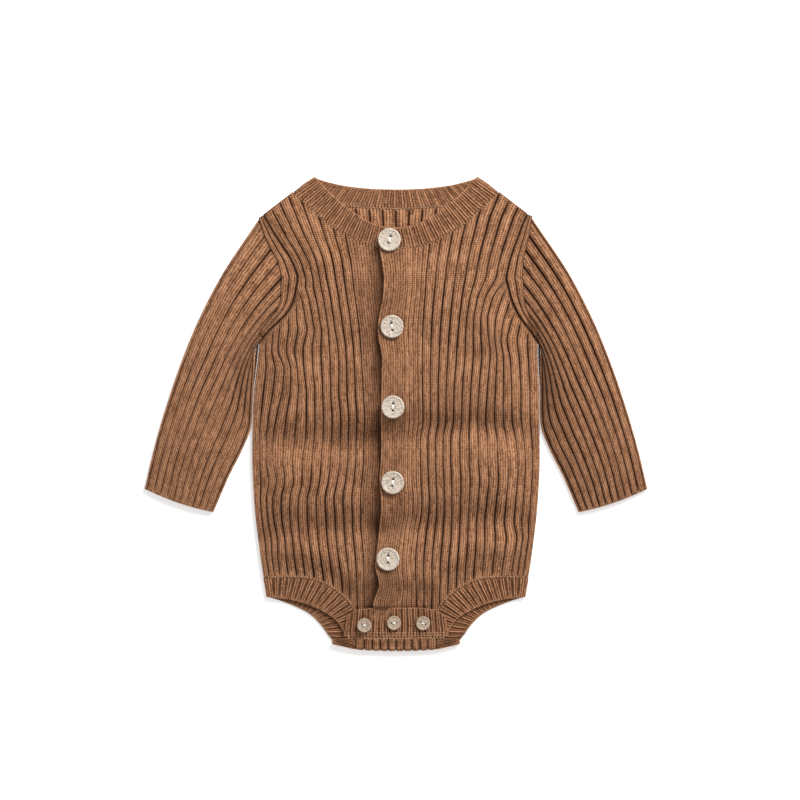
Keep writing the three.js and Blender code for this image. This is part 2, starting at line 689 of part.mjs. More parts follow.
// A place on the flattened sleeve: s from its outer to its inner edge, t from the cuff to the armhole.
function sleevePlan(side, end, s, t) {
  const inner = (share) => {
    const point = innerLine(share);
    return point.setX(point.x + side * skewAt(SIDE_Q, point.y));
  };
  const straight = outerLine(t).lerp(inner(t), s);
  const chord = outerLine(1).lerp(inner(1), s);
  // Near the folds the tube keeps to its own edges, so the bow fades out there.
  const share = smooth(0, 0.08, s) * smooth(0, 0.05, 1 - s);
  straight.addScaledVector(CUFF_OUT, CUFF_BOW * 4 * s * (1 - s) * smooth(CUFF_REACH, 0, t));
  return straight.addScaledVector(end(s).sub(chord), share * t ** (OUTER_PULL + INNER_PULL * s ** 4));
}
function edgeNormal(curve, t, sign) {
  const along = curve(Math.min(1, t + 0.01)).sub(curve(Math.max(0, t - 0.01)));
  return new THREE.Vector3(sign * along.y, -sign * along.x, 0).normalize();
}
function sleeve(side) {
  const strips = [...repeat(RIB, SLEEVE_RIBS), TURN, ...repeat(PLAIN, SLEEVE_RIBS), TURN];
  const end = armhole(side);
  const plan = (s, t) => sleevePlan(side, end, s, t);
  const place = (c, t, face) => {
    const offset = face * faceOffset(c, face > 0 && c <= SLEEVE_RIBS);
    let point;
    if (c <= SLEEVE_RIBS) {
      const s = c / SLEEVE_RIBS;
      point = plan(s, t);
      const rise = smooth(1, PUFF_TO, t) * smooth(-PUFF_FROM, PUFF_FROM, t);
      point.z = FRONT_Z + SLEEVE_PUFF * Math.sin(Math.PI * s) ** 0.8 * rise + offset;
    } else if (c < SLEEVE_RIBS + 1 || c > 2 * SLEEVE_RIBS + 1) {
      const inner = c < SLEEVE_RIBS + 1;
      const turn = Math.PI * (inner ? c - SLEEVE_RIBS : 2 * SLEEVE_RIBS + 2 - c);
      point = plan(inner ? 1 : 0, t);
      const out = inner ? edgeNormal(innerLine, t, -1) : edgeNormal(outerLine, t, 1);
      // At the underarm the fold turns down, clear of the side seam.
      if (inner) out.lerp(UNDERARM_OUT, smooth(PIT_FROM, 1, t)).normalize();
      const reach = EDGE_TURN + face * (WALL / 2);
      point.addScaledVector(out, reach * Math.sin(turn));
      point.z = BACK_Z + EDGE_TURN + reach * Math.cos(turn);
    } else {
      point = plan(1 - (c - SLEEVE_RIBS - 1) / SLEEVE_RIBS, t);
      point.z = BACK_Z - offset;
    }
    point.x *= side;
    return point;
  };
  return knitWall({ strips, rows: rowsBetween(0, 1, SLEEVE_ROWS), place, closed: true });
}

// ---- buttons ----
const wasm = await Module();
wasm.setup();
function asManifold(geometry) {
  const plain = geometry.index ? geometry.toNonIndexed() : geometry;
  const positions = plain.attributes.position.array;
  const places = new Map();
  const vertProperties = [];
  const triVerts = [];
  for (let i = 0; i < positions.length; i += 3) {
    const corner = Array.from(positions.slice(i, i + 3), (n) => Math.round(n * 1e4) / 1e4);
    const key = corner.join();
    if (!places.has(key)) {
      places.set(key, places.size);
      vertProperties.push(...corner);
    }
    triVerts.push(places.get(key));
  }
  const faces = [];
  for (let i = 0; i < triVerts.length; i += 3) {
    const [a, b, c] = triVerts.slice(i, i + 3);
    if (a !== b && b !== c && a !== c) faces.push(a, b, c);
  }
  return new wasm.Manifold(
    new wasm.Mesh({
      numProp: 3,
      vertProperties: new Float32Array(vertProperties),
      triVerts: new Uint32Array(faces),
    }),
  );
}
// A turned disc with a raised rim, a shallow dish and two thread holes.
function buttonGeometry({ radius, thick, rim, dish, holeRadius, holeGap, sides }) {
  const profile = [
    [0, 0],
    [radius * BUTTON_SEAT, 0],
    [radius, thick * BUTTON_BELLY],
    [radius - 0.5 * rim, thick],
    [radius - 1.5 * rim, thick - dish],
    [0, thick - dish],
  ].map(([r, z]) => new THREE.Vector2(r, z));
  let solid = asManifold(new THREE.LatheGeometry(profile, sides).rotateX(Math.PI / 2));
  if (solid.volume() < 0) throw new Error("the button's profile is inside out");
  for (const place of [-0.5, 0.5]) {
    const hole = new THREE.CylinderGeometry(holeRadius, holeRadius, 3 * thick, 8).rotateX(Math.PI / 2);
    solid = solid.subtract(asManifold(hole.translate(place * holeGap, 0, 0)));
  }
  const cut = solid.getMesh();
  const geometry = new THREE.BufferGeometry();
  geometry.setAttribute("position", new THREE.BufferAttribute(new Float32Array(cut.vertProperties), 3));
  geometry.setIndex(Array.from(cut.triVerts));
  geometry.computeVertexNormals();
  return geometry;
}
// A button lies just clear of the highest cloth under it.
function buttonMesh({ name, kind, x, y, turn }) {
  const surface = kind === bigButton ? overHeight : flapHeight;
  let highest = 0;
  for (let step = 0; step < 16; step++) {
    const angle = (step / 16) * 2 * Math.PI;
    for (const reach of [0.5, 1])
      highest = Math.max(
        highest,
        surface(x + reach * kind.radius * Math.cos(angle), y + reach * kind.radius * Math.sin(angle)),
      );
  }
  const mesh = new THREE.Mesh(buttonGeometry(kind), BUTTON);
  mesh.name = name;
  mesh.position.set(x, y, highest + WALL / 2 + SEAM);
  mesh.rotation.z = THREE.MathUtils.degToRad(turn);
  return mesh;
}

// ---- the whole garment ----
const garment = new THREE.Group();
function add(name, geometry) {
  const mesh = new THREE.Mesh(geometry, KNIT);
  mesh.name = name;
  garment.add(mesh);
}
const overFront = {
  edge: PLACKET_EDGE_Q,
  fineFrom: PLACKET_FINE_Q,
  fineRibs: PLACKET_FINE_RIBS,
  ribsFrom: PLACKET_RIB_Q,
  ribs: 8,
  side: 1,
  height: overHeight,
};
const underFront = {
  edge: UNDER_EDGE_Q,
  fineFrom: UNDER_RIB_Q,
  fineRibs: 0,
  ribsFrom: UNDER_RIB_Q,
  ribs: 7,
  side: -1,
  height: underHeight,
};
add("back_panel", backPanel());
add("front_left", frontPanel(overFront));
add("front_right", frontPanel(underFront));
add("sleeve_left", sleeve(1));
add("sleeve_right", sleeve(-1));
add("neckband", neckband());
add("leg_band_left", legBand(1));
add("leg_band_right", legBand(-1));
add("crotch_band", crotchBand());
for (const button of buttons) garment.add(buttonMesh(button));

// The part's origin is the middle of its footprint, on the surface that it lies on.
const extent = new THREE.Box3().setFromObject(garment);
const middle = extent.getCenter(new THREE.Vector3());
garment.position.set(-middle.x, -middle.y, -extent.min.z);
const part = new THREE.Group();
part.add(garment);

export default part;
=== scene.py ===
"""A ribbed, long-sleeved baby bodysuit, knitted and laid flat on a pale surface.

The lengths in the tables are millimetres in the garment's own plan: x runs towards the wearer's left from the
middle of the crotch, y from the crotch's fold to the neck and z up from the surface. A rib is named by its
place q, its distance from the middle at the body's widest level.
"""

import logging
import math
from collections.abc import Callable, Iterable, Sequence
from dataclasses import dataclass, field
from enum import Enum
from typing import Any

import bpy
import numpy as np
from mathutils import Matrix, Vector
from mathutils.bvhtree import BVHTree


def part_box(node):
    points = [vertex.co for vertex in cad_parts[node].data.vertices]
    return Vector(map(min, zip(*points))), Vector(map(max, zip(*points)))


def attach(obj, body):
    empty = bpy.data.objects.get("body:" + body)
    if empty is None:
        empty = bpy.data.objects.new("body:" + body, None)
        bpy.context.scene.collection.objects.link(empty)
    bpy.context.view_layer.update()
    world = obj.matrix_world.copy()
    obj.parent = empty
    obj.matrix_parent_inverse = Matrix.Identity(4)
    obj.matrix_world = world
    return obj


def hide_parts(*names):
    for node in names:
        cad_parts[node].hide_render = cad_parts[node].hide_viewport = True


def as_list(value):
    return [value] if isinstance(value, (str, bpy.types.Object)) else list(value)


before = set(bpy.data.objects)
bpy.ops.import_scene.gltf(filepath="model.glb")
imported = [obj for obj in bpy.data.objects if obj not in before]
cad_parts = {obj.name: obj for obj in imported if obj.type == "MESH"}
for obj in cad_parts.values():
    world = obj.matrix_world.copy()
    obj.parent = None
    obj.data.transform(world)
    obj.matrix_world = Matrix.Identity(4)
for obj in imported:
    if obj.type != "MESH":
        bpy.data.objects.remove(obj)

Array = np.ndarray
Points = Sequence[tuple[float, float]]

log = logging.getLogger("bodysuit")

MM = 0.001
WALL = 2.0  # cloth, from its inside to the crest of a rib
LAYER = 2.3
BACK_Z = 1.0
FRONT_Z = BACK_Z + LAYER
TOP_Z = FRONT_Z + LAYER
EDGE_TURN = LAYER / 2
CROTCH_TURN = LAYER
SEAM_PLAN = 0.25
SIDE_Q = 112.0
ARM_Q = 69.5
FLAP_Q = 35.2
ARM_Y = 291.0
FLAP_TOP = 11.0
CROTCH_TOP = 34.3
PLACKET_EDGE_Q = -11.0
UNDER_EDGE_Q = 2.0
COURSE = 1.6  # height of one stitch
PIT_LOW_Y = 230  # a height below the underarm's curve
SEAM_DIP = 0.7  # how far a front sinks towards its seams, and from how far away
SEAM_DIP_REACH = 2.4
FOLD_SHADE_REACH = (11, 8)  # how far a fold's painted shade reaches above and below it
SEAM_SHADE_REACH = 1.2
SEAM_SHADE = 0.85  # painted shade along a sunk seam
EDGE_SHADE = 0.22  # painted shade in the dips beside a seam's raised edge
FOLD_SHADE = 0.34  # painted shade in a fold
CROTCH_SHADE = 0.6  # painted shade in the crease above the crotch band
PLACKET_SHADE = 0.4  # painted shadow under the placket's free edge
TURN_COLUMNS = 12  # columns of a band round a fold
STRIP_RIBS = 2  # ribs of the strip beside an armhole
PLAIN_PHASES = (0, 0.03, 0.09, 0.2, 0.35, 0.5, 0.65, 0.8, 0.91, 0.97)  # columns of a sleeve's lower layer
FLOOR_GAP = 0.0002  # metres between the floor and the cloth


# ---------------------------------------------------------------- curves


def mix(a: Array | float, b: Array | float, t: Array | float) -> Array:
    """Blend two values.

    Args:
        a: Value at t = 0.
        b: Value at t = 1.
        t: Share of b.

    Returns:
        The blended value.
    """
    return a + (b - a) * t


def smooth(start: float, end: float, value: Array | float) -> Array:
    """Ease from 0 at start to 1 at end.

    Args:
        start: Where the result is 0.
        end: Where the result is 1.
        value: Where to read it.

    Returns:
        The eased share, from 0 to 1.
    """
    t = np.clip((np.asarray(value, float) - start) / (end - start), 0, 1)
    return t * t * (3 - 2 * t)


def monotone(keys: Array, values: Array, at: Array | float) -> Array:
    """Read a smooth curve through rows that never overshoots them.

    Args:
        keys: Increasing keys.
        values: The value at each key.
        at: Keys to read.

    Returns:
        The curve's values there.
    """
    slopes = np.diff(values) / np.diff(keys)
    first, second = slopes[:-1], slopes[1:]
    agree = first * second > 0
    total = np.where(agree, first + second, 1)
    bends = np.concatenate([slopes[:1], np.where(agree, 2 * first * second / total, 0), slopes[-1:]])
    at = np.clip(np.asarray(at, float), keys[0], keys[-1])
    i = np.clip(np.searchsorted(keys, at, side="right") - 1, 0, len(keys) - 2)
    width = keys[i + 1] - keys[i]
    t = (at - keys[i]) / width
    start = values[i] * (1 + 2 * t) * (1 - t) ** 2 + width * bends[i] * t * (1 - t) ** 2
    return start + values[i + 1] * t * t * (3 - 2 * t) - width * bends[i + 1] * t * t * (1 - t)


class Table:
    """Rows of numbers under named columns, read as smooth curves along the first column."""

    def __init__(self, columns: str, rows: Sequence[Sequence[float]]) -> None:
        """Store the rows.

        Args:
            columns: Column names, parted by spaces; the first is the key.
            rows: The rows, in order of their keys.
        """
        data = np.array(rows, float)
        self.names = columns.split()
        self.columns = {name: data[:, i] for i, name in enumerate(self.names)}

    def __call__(self, column: str, at: Array | float) -> Array:
        """Read a column.

        Args:
            column: The column's name.
            at: Keys to read.

        Returns:
            The column's smooth curve there.
        """
        return monotone(self.columns[self.names[0]], self.columns[column], at)

    def end(self, column: str) -> float:
        """Give a column's last value.

        Args:
            column: The column's name.

        Returns:
            The value in the last row.
        """
        return float(self.columns[column][-1])


def table(names: str, rows: Sequence[tuple[float, ...]]) -> Any:
    """Declare a field that holds a table.

    Args:
        names: The names of its columns.
        rows: Its rows.

    Returns:
        The field.
    """
    return field(default_factory=lambda: Table(names, rows))


class Line:
    """A smooth plan line through a few points, read by share of its length."""

    def __init__(self, points: Points | Array, samples: int = 40) -> None:
        """Fit the line.

        Args:
            points: The points it passes through.
            samples: Straight steps between two points.
        """
        knots = np.array(points, float)
        knots = np.concatenate([[2 * knots[0] - knots[1]], knots, [2 * knots[-1] - knots[-2]]])
        steps = np.sqrt(np.linalg.norm(np.diff(knots, axis=0), axis=1))[:, None]
        t = np.linspace(0, 1, samples, endpoint=False)[:, None]
        parts = []
        for k in range(len(knots) - 3):
            p0, p1, p2, p3 = knots[k : k + 4]
            d0, d1, d2 = steps[k], steps[k + 1], steps[k + 2]
            m1 = d1 * ((p1 - p0) / d0 - (p2 - p0) / (d0 + d1) + (p2 - p1) / d1)
            m2 = d1 * ((p2 - p1) / d1 - (p3 - p1) / (d1 + d2) + (p3 - p2) / d2)
            square, cubic = 3 * (p2 - p1) - 2 * m1 - m2, 2 * (p1 - p2) + m1 + m2
            parts.append(p1 + m1 * t + square * t**2 + cubic * t**3)
        self.points = np.concatenate([*parts, knots[-2:-1]])
        self.lengths = np.concatenate([[0], np.cumsum(np.linalg.norm(np.diff(self.points, axis=0), axis=1))])

    @property
    def length(self) -> float:
        """The line's length."""
        return float(self.lengths[-1])

    def at(self, share: Array | float) -> Array:
        """Give points on the line.

        Args:
            share: Shares of the length, from 0 to 1.

        Returns:
            The points, with the coordinates on the last axis.
        """
        where = np.clip(np.asarray(share, float), 0, 1) * self.length
        return np.stack([np.interp(where, self.lengths, self.points[:, k]) for k in (0, 1)], axis=-1)

    def along(self, share: Array | float) -> Array:
        """Give the line's unit direction.

        Args:
            share: Shares of the length, from 0 to 1.

        Returns:
            Unit vectors that point along the line.
        """
        share = np.asarray(share, float)
        way = self.at(np.minimum(1, share + 0.01)) - self.at(np.maximum(0, share - 0.01))
        return way / np.linalg.norm(way, axis=-1, keepdims=True)


class Waves:
    """Slow, seeded unevenness over the plan, from about -1 to 1."""

    def __init__(self, seed: int, shortest: float, longest: float, count: int = 9) -> None:
        """Draw the waves.

        Args:
            seed: Seed of the drawing.
            shortest: Shortest wavelength.
            longest: Longest wavelength.
            count: Number of waves.
        """
        rng = np.random.default_rng(seed)
        length = rng.uniform(shortest, longest, count)
        angle = rng.uniform(0, 2 * math.pi, count)
        self.ways = np.stack([np.cos(angle), np.sin(angle)]) * (2 * math.pi / length)
        self.phases = rng.uniform(0, 2 * math.pi, count)

    def __call__(self, x: Array, y: Array) -> Array:
        """Read the unevenness.

        Args:
            x: Plan coordinates across.
            y: Plan coordinates along.

        Returns:
            The unevenness there.
        """
        x, y = np.broadcast_arrays(np.asarray(x, float), np.asarray(y, float))
        total = sum(np.sin(a * x + b * y + c) for a, b, c in zip(*self.ways, self.phases, strict=True))
        return total / math.sqrt(2 * len(self.phases))


def solve(low: float, high: float, error: Callable[[Array], Array], like: Array) -> Array:
    """Find where an increasing error is zero, for each column at once.

    Args:
        low: Lowest value tried.
        high: Highest value tried.
        error: The error of an array of values.
        like: An array of the wanted shape.

    Returns:
        The values at which the error is zero.
    """
    lows, highs = np.full_like(like, low), np.full_like(like, high)
    for _ in range(40):
        middle = (lows + highs) / 2
        under = error(middle) < 0
        lows, highs = np.where(under, middle, lows), np.where(under, highs, middle)
    return (lows + highs) / 2


# ---------------------------------------------------------------- the garment's plan


@dataclass
class BodyPlan:
    """Where the ribs and the edges of the body lie, seen from above."""

    width: Table = table(
        "y side arm fan",
        [
            (0, 98, 60.8, 1), (42, 101, 62.7, 1), (77, 106, 65.8, 1), (115, 110.3, 68.4, 1),
            (152, 112, 69.5, 1), (200, 111, 69.2, 1), (241, 108.3, 71.5, 1.04), (258, 108.3, 71.5, 1.07),
            (272, 108.3, 73.5, 1.1), (283, 108.3, 77.5, 1.14), (ARM_Y, 108.3, 81.2, 1.17),
            (300, 108.3, 83.5, 1.21), (308, 108.3, 86.5, 1.26), (320, 108.3, 92.7, 1.35),
            (338, 108.3, 101.5, 1.48), (360, 108.3, 114, 1.65),
        ],
    )
    lean: Table = table(
        "y shift",
        [(190, 0), (241, 2), (256, 3.6), (268, 5.2), (286, 4.8), (300, 4.2), (320, 1.3), (338, -0.8)],
    )
    drift: Table = table(
        "y shift",
        [(10, -5), (70, -4.4), (92, -2), (108, 0.6), (200, 0), (285, 1.6), (320, 0.6)],
    )
    underarm: Table = table(
        "x y",
        [(81.2, ARM_Y), (82.7, 283), (85.4, 272), (90.2, 263), (95.6, 256.5), (102, 249.5), (108.3, 241)],
    )
    front_neck: Table = table(
        "x y",
        [(0, 314), (12, 314.8), (27, 318), (40, 325), (54.5, 334), (69, 347.5), (80.5, 357.8)],
    )
    back_neck: Table = table("x y", [(0, 345), (25, 346), (48, 348.5), (66, 352.6), (80.5, 357.8)])
    front_leg: Table = table(
        "x y",
        [
            (23.5, 11), (26, 18), (31, 29.5), (37, 39), (44, 45.6), (54.8, 52.6), (68.6, 57), (84, 58),
            (106, 57.5),
        ],
    )
    back_leg: Table = table(
        "x y",
        [(31, 4.8), (36, 15), (42, 27), (52, 39), (70, 50.5), (88, 56.5), (106, 57.5)],
    )
    shoulder: tuple[float, float] = (103, 340.6)

    def lean_at(self, q: Array, y: Array) -> Array:
        """How far the askew armholes pull a rib towards the wearer's left.

        Args:
            q: Ribs.
            y: Heights.

        Returns:
            The shift along x.
        """
        return self.lean("shift", y) * smooth(10, 75, np.abs(q))

    def straight_x(self, q: Array, y: Array) -> Array:
        """Where a rib lies before anything pulls it sideways.

        Args:
            q: Ribs.
            y: Heights.

        Returns:
            Places across.
        """
        side, arm = self.width("side", y), self.width("arm", y)
        out = np.abs(q)
        scale = side / SIDE_Q * self.width("fan", y)
        inner = out * scale + (arm - ARM_Q * scale) * (out / ARM_Q) ** 3
        outer = mix(arm, side, (out - ARM_Q) / (SIDE_Q - ARM_Q))
        return np.sign(q) * np.where(out > ARM_Q, outer, inner)

    def rib_x(self, q: Array, y: Array) -> Array:
        """Where a front's rib lies.

        Args:
            q: Ribs.
            y: Heights.

        Returns:
            Places across.
        """
        near = np.maximum(0, 1 - np.abs(q) / 70)
        return self.straight_x(q, y) + self.lean_at(q, y) + self.drift("shift", y) * near

    def back_x(self, q: Array, y: Array) -> Array:
        """Where one of the back's ribs lies.

        Args:
            q: Ribs.
            y: Heights.

        Returns:
            Places across.
        """
        return self.straight_x(q, y) + self.lean_at(q, y)

    def neckline(self, neck: Table, x: Array) -> Array:
        """The upper edge of a panel: its neckline, then its shoulder.

        Args:
            neck: The panel's neckline.
            x: Places across.

        Returns:
            Heights.
        """
        across = np.abs(x)
        corner_x, corner_y = neck.end("x"), neck.end("y")
        slope = (self.shoulder[1] - corner_y) / (self.shoulder[0] - corner_x)
        return np.where(across <= corner_x, neck("y", across), corner_y + slope * (across - corner_x))

    def top(self, neck: Table, x_at: Callable[[Array, Array], Array], q: Array) -> Array:
        """Where a panel's ribs end at the neck or shoulder.

        Args:
            neck: The panel's neckline.
            x_at: Where the panel's ribs lie, from their q and the height.
            q: Ribs.

        Returns:
            Heights.
        """
        return solve(ARM_Y, 362, lambda y: y - self.neckline(neck, x_at(q, y)), q)

    def bottom(self, leg: Table, x_at: Callable[[Array, Array], Array], q: Array) -> Array:
        """Where a panel's ribs meet a leg band or the crotch.

        Args:
            leg: The panel's lower edge.
            x_at: Where the panel's ribs lie, from their q and the height.
            q: Ribs.

        Returns:
            Heights.
        """
        return solve(3, 70, lambda y: y - leg("y", np.abs(x_at(q, y))), q)

    def middle(self, x_at: Callable[[Array, Array], Array], q: Array) -> Array:
        """Find the height of the armhole's corner, or where a side rib ends on the armhole.

        Args:
            x_at: Where the panel's ribs lie, from their q and the height.
            q: Ribs.

        Returns:
            Heights.
        """

        def above(y: Array) -> Array:
            """Measure how far heights lie above the underarm's curve.

            Args:
                y: Heights.

            Returns:
                Distances.
            """
            return y - self.underarm("y", np.abs(x_at(q, y) - self.lean_at(q, y)))

        curve = solve(PIT_LOW_Y, ARM_Y, above, q)
        return np.where(np.abs(q) <= ARM_Q, ARM_Y, curve)

    def armhole(self, side: int) -> "Line":
        """The seam of a sleeve, from the shoulder down to the underarm.

        Args:
            side: +1 for the wearer's left.

        Returns:
            The line, mirrored to the wearer's left.
        """
        corner = np.array(side * ARM_Q)
        high = float(self.top(self.front_neck, self.rib_x, corner))
        heights = mix(ARM_Y, high, np.linspace(1, 0, 7)[:-1])
        upper = np.stack([side * self.rib_x(corner, heights), heights], axis=1)
        low_x, low_y = self.underarm.columns["x"], self.underarm.columns["y"]
        shift = side * self.lean_at(np.array(SIDE_Q), low_y)
        return Line(np.concatenate([upper, np.stack([low_x + shift, low_y], axis=1)]))

    def half_width(self, y: Array) -> Array:
        """Half the width of the body, seen from above, at a height."""
        low = self.underarm.end("y")
        heights, across = self.underarm.columns["y"][::-1], self.underarm.columns["x"][::-1]
        side = np.where(y <= low, self.width("side", y), self.width("arm", y))
        return np.where((y > low) & (y < ARM_Y), monotone(heights, across, y), side)


@dataclass
class Loft:
    """How high the fronts' cloth lies, with its soft folds."""

    plan: BodyPlan
    puff: float = 8.0
    chest: float = 0.55  # share of that puff over the chest
    lip: float = 3.6  # how far the placket's free edge gapes between two buttons
    lip_wide: float = 9.0
    buttons_apart: float = 62.3
    lowest_button: float = 72.5
    folds: Table = table(
        "place right_end right_mid placket left_mid left_end depth above below",
        [
            (0, 163, 163.5, 169, 175.5, 174, 0.92, 12.5, 14), (1, 94.5, 96, 97.5, 102, 104, 0.92, 13.5, 14),
            (2, 236, 240, 246, 238, 230, 0.3, 16, 16),
        ],
    )
    waves: Waves = field(default_factory=lambda: Waves(11, 28, 70))

    def fold_line(self, k: int, x: Array) -> Array:
        """The height of a fold's lowest line.

        Args:
            k: The fold.
            x: Places across.

        Returns:
            Heights.
        """
        ends = np.array([-105.0, -55.0, -5.0, 50.0, 105.0])
        heights = [self.folds.columns[name][k] for name in self.folds.names[1:6]]
        return monotone(ends, np.array(heights), x)

    def fold_shade(self, x: Array, y: Array) -> Array:
        """How much shade is painted beside the folds' lowest lines.

        Args:
            x: Places across.
            y: Heights.

        Returns:
            Shares from 0 to 1.
        """
        shade = np.zeros(np.broadcast(x, y).shape)
        for k in range(len(self.folds.columns["place"])):
            off = y - self.fold_line(k, x)
            ripple = 0.8 + 0.3 * self.waves(x * 1.7, y * 0.3 + 70 * k)
            near = np.exp(-((off / np.where(off > 0, *FOLD_SHADE_REACH)) ** 2)) * ripple
            shade = np.maximum(shade, self.folds.columns["depth"][k] * near)
        return np.clip(shade, 0, 1)

    def fold_share(self, x: Array, y: Array) -> Array:
        """The share of the loft that the folds leave.

        Args:
            x: Places across.
            y: Heights.

        Returns:
            Shares from 0 to 1.
        """
        share = np.ones(np.broadcast(x, y).shape)
        for k in range(len(self.folds.columns["place"])):
            off = y - self.fold_line(k, x)
            above, below = self.folds.columns["above"][k], self.folds.columns["below"][k]
            spread = np.where(off > 0, above, below)
            depth = self.folds.columns["depth"][k] * (1 + 0.12 * self.waves(x * 1.3, y * 0.2 + 40 * k))
            share = share * (1 - np.clip(depth, 0, 1) * np.exp(-((off / spread) ** 2)))
        return share

    def lift(self, x: Array, y: Array) -> Array:
        """How far the fronts stand off the back.

        Args:
            x: Places across.
            y: Heights.

        Returns:
            The lift.
        """
        sides = smooth(0, 30, self.plan.half_width(y) - np.abs(x)) ** 0.8
        neck = smooth(0, 34, self.plan.neckline(self.plan.front_neck, x) - y)
        low = np.maximum(self.plan.front_leg("y", np.abs(x)), CROTCH_TOP)
        hem = smooth(0, 26, y - low - 1)
        chest = mix(1, self.chest, smooth(235, 290, y))
        uneven = 1 + 0.1 * self.waves(x, y)
        return self.puff * chest * sides * neck * hem * self.fold_share(x, y) * uneven

    def under(self, x: Array, y: Array) -> Array:
        """The middle of the cloth of the front that lies underneath."""
        return FRONT_Z + self.lift(x, y)

    def over(self, x: Array, y: Array) -> Array:
        """The middle of the cloth of the front that lies on top."""
        gape = self.lip * np.sin(math.pi * (y - self.lowest_button) / self.buttons_apart) ** 2
        edge = np.exp(-((np.maximum(0, x - PLACKET_EDGE_Q) / self.lip_wide) ** 2)) * smooth(330, 312, y)
        return self.under(x, y) + LAYER * smooth(14, 7, x) + gape * edge

    def flap(self, x: Array, y: Array) -> Array:
        """The middle of the cloth folded up over the fronts and of the crotch band."""
        step = smooth(16, 9, x) * smooth(-32, -19, x)
        return TOP_Z + LAYER * step * smooth(4, FLAP_TOP - 1, y)


# ---------------------------------------------------------------- knitted surfaces


@dataclass(frozen=True)
class Rib:
    """One kind of knitted rib, across its width."""

    groove: float  # depth between two ribs
    spread: float  # half width of that groove, as a share of the rib
    crown: float  # how far the crest falls off towards its sides
    wales: int  # columns of stitches
    dip: float = 0.16  # depth between two columns of stitches

    @property
    def phases(self) -> list[float]:
        """Shares of the rib's width at which it is drawn."""
        even = {k / (4 * self.wales) for k in range(4 * self.wales)}
        return sorted(even | ({0.03, 0.97} if self.groove > 1 else set()))

    def off(self, phase: Array) -> Array:
        """Share of the rib's width to the nearest groove."""
        phase = np.mod(phase, 1)
        return np.minimum(phase, 1 - phase)

    def drop(self, phase: Array) -> Array:
        """How far the cloth lies below the crest.

        Args:
            phase: Share of the rib's width; 0 is a groove.

        Returns:
            The drop.
        """
        off = self.off(phase)
        between = self.dip * (0.5 + 0.5 * np.cos(2 * math.pi * self.wales * off))
        return self.crown * (1 - 2 * off) ** 2 + self.groove * np.exp(-((off / self.spread) ** 2)) + between

    def shade(self, phase: Array) -> Array:
        """The painted shade of the knit: 0 in a groove, darker on the flanks, 1 on a crest."""
        if not self.groove:
            return np.full_like(np.asarray(phase, float), 0.62)
        off = self.off(phase)
        deep, flank = min(1, self.groove), 0.3 * np.exp(-((off / 0.25) ** 2))
        return 1 - deep * np.maximum(np.exp(-((off / (1.15 * self.spread)) ** 2)), flank)


@dataclass(frozen=True)
class PairedRib(Rib):
    """Two thin ridges that stand on a broad, sunken ground."""

    apart: float = 0.175  # from the rib's middle to each ridge, as a share of the rib
    ground: float = 0.55  # painted shade of the sunken ground
    line: float = 0.0  # a painted dark line of shade in its middle

    @property
    def phases(self) -> list[float]:
        """Shares of the rib's width at which it is drawn."""
        near = (0.06, 0.11, self.apart, self.apart + 0.065, self.apart + 0.13, self.apart + 0.21)
        return sorted([0, 0.5, *(0.5 - step for step in near), *(0.5 + step for step in near)])

    def ridge(self, phase: Array) -> Array:
        """How much of a ridge stands at a place, from 0 to 1."""
        off = 0.5 - self.off(phase)
        return np.exp(-(((off - self.apart) / self.spread) ** 2))

    def drop(self, phase: Array) -> Array:
        """How far the cloth lies below the ridges.

        Args:
            phase: Share of the rib's width; 0 is the middle of the ground.

        Returns:
            The drop.
        """
        return self.groove * (1 - self.ridge(phase))

    def shade(self, phase: Array) -> Array:
        """The painted shade of the knit: darker on the sunken ground and between the ridges, 1 on a ridge."""
        between = 0.8 * np.exp(-(((0.5 - self.off(phase)) / 0.06) ** 2))
        middle = self.line * np.exp(-((self.off(phase) / 0.1) ** 2))
        return mix(self.ground * (1 - between) * (1 - middle), 1, self.ridge(phase))


class Knit(Enum):
    """The kinds of rib in the garment."""

    WIDE = Rib(groove=1.35, spread=0.11, crown=0.5, wales=4)
    FINE = Rib(groove=0.6, spread=0.16, crown=0.05, wales=2)
    NECK = PairedRib(groove=0.9, spread=0.09, crown=0, wales=3, apart=0.16, ground=0.54)
    BAND = PairedRib(groove=0.95, spread=0.15, crown=0, wales=3, apart=0.2, ground=0.6, line=0.9)
    EDGE = Rib(groove=1.0, spread=0.12, crown=0.4, wales=3)
    PLAIN = Rib(groove=0, spread=0.1, crown=0, wales=1)


@dataclass
class Columns:
    """Lines of points along the ribs of a piece, side by side."""

    place: Array  # strip coordinate or q
    wale: Array  # columns of stitches counted from the first
    drop: Array  # how far the outer face lies below the crest
    shade: Array  # painted shade: 0 in a groove, 1 on a crest

    @classmethod
    def of(cls, runs: Iterable[tuple[float, float, int, Knit]]) -> "Columns":
        """Lay runs of ribs side by side.

        Args:
            runs: For each run where it starts, where it ends, how many ribs it has and their kind.

        Returns:
            The columns.
        """
        place: list[float] = []
        wale: list[float] = []
        drop: list[float] = []
        shade: list[float] = []
        count, finish, kind = 0.0, 0.0, Knit.PLAIN
        for start, finish, ribs, kind in runs:
            rib: Rib = kind.value
            for k in range(ribs):
                for phase in rib.phases:
                    place.append(mix(start, finish, (k + phase) / ribs))
                    wale.append(count + (k + phase) * rib.wales)
                    drop.append(float(rib.drop(phase)))
                    shade.append(float(rib.shade(phase)))
            count += ribs * rib.wales
        place.append(finish)
        wale.append(count)
        drop.append(float(kind.value.drop(0)))
        shade.append(float(kind.value.shade(0)))
        return cls(np.array(place), np.array(wale), np.array(drop), np.array(shade))


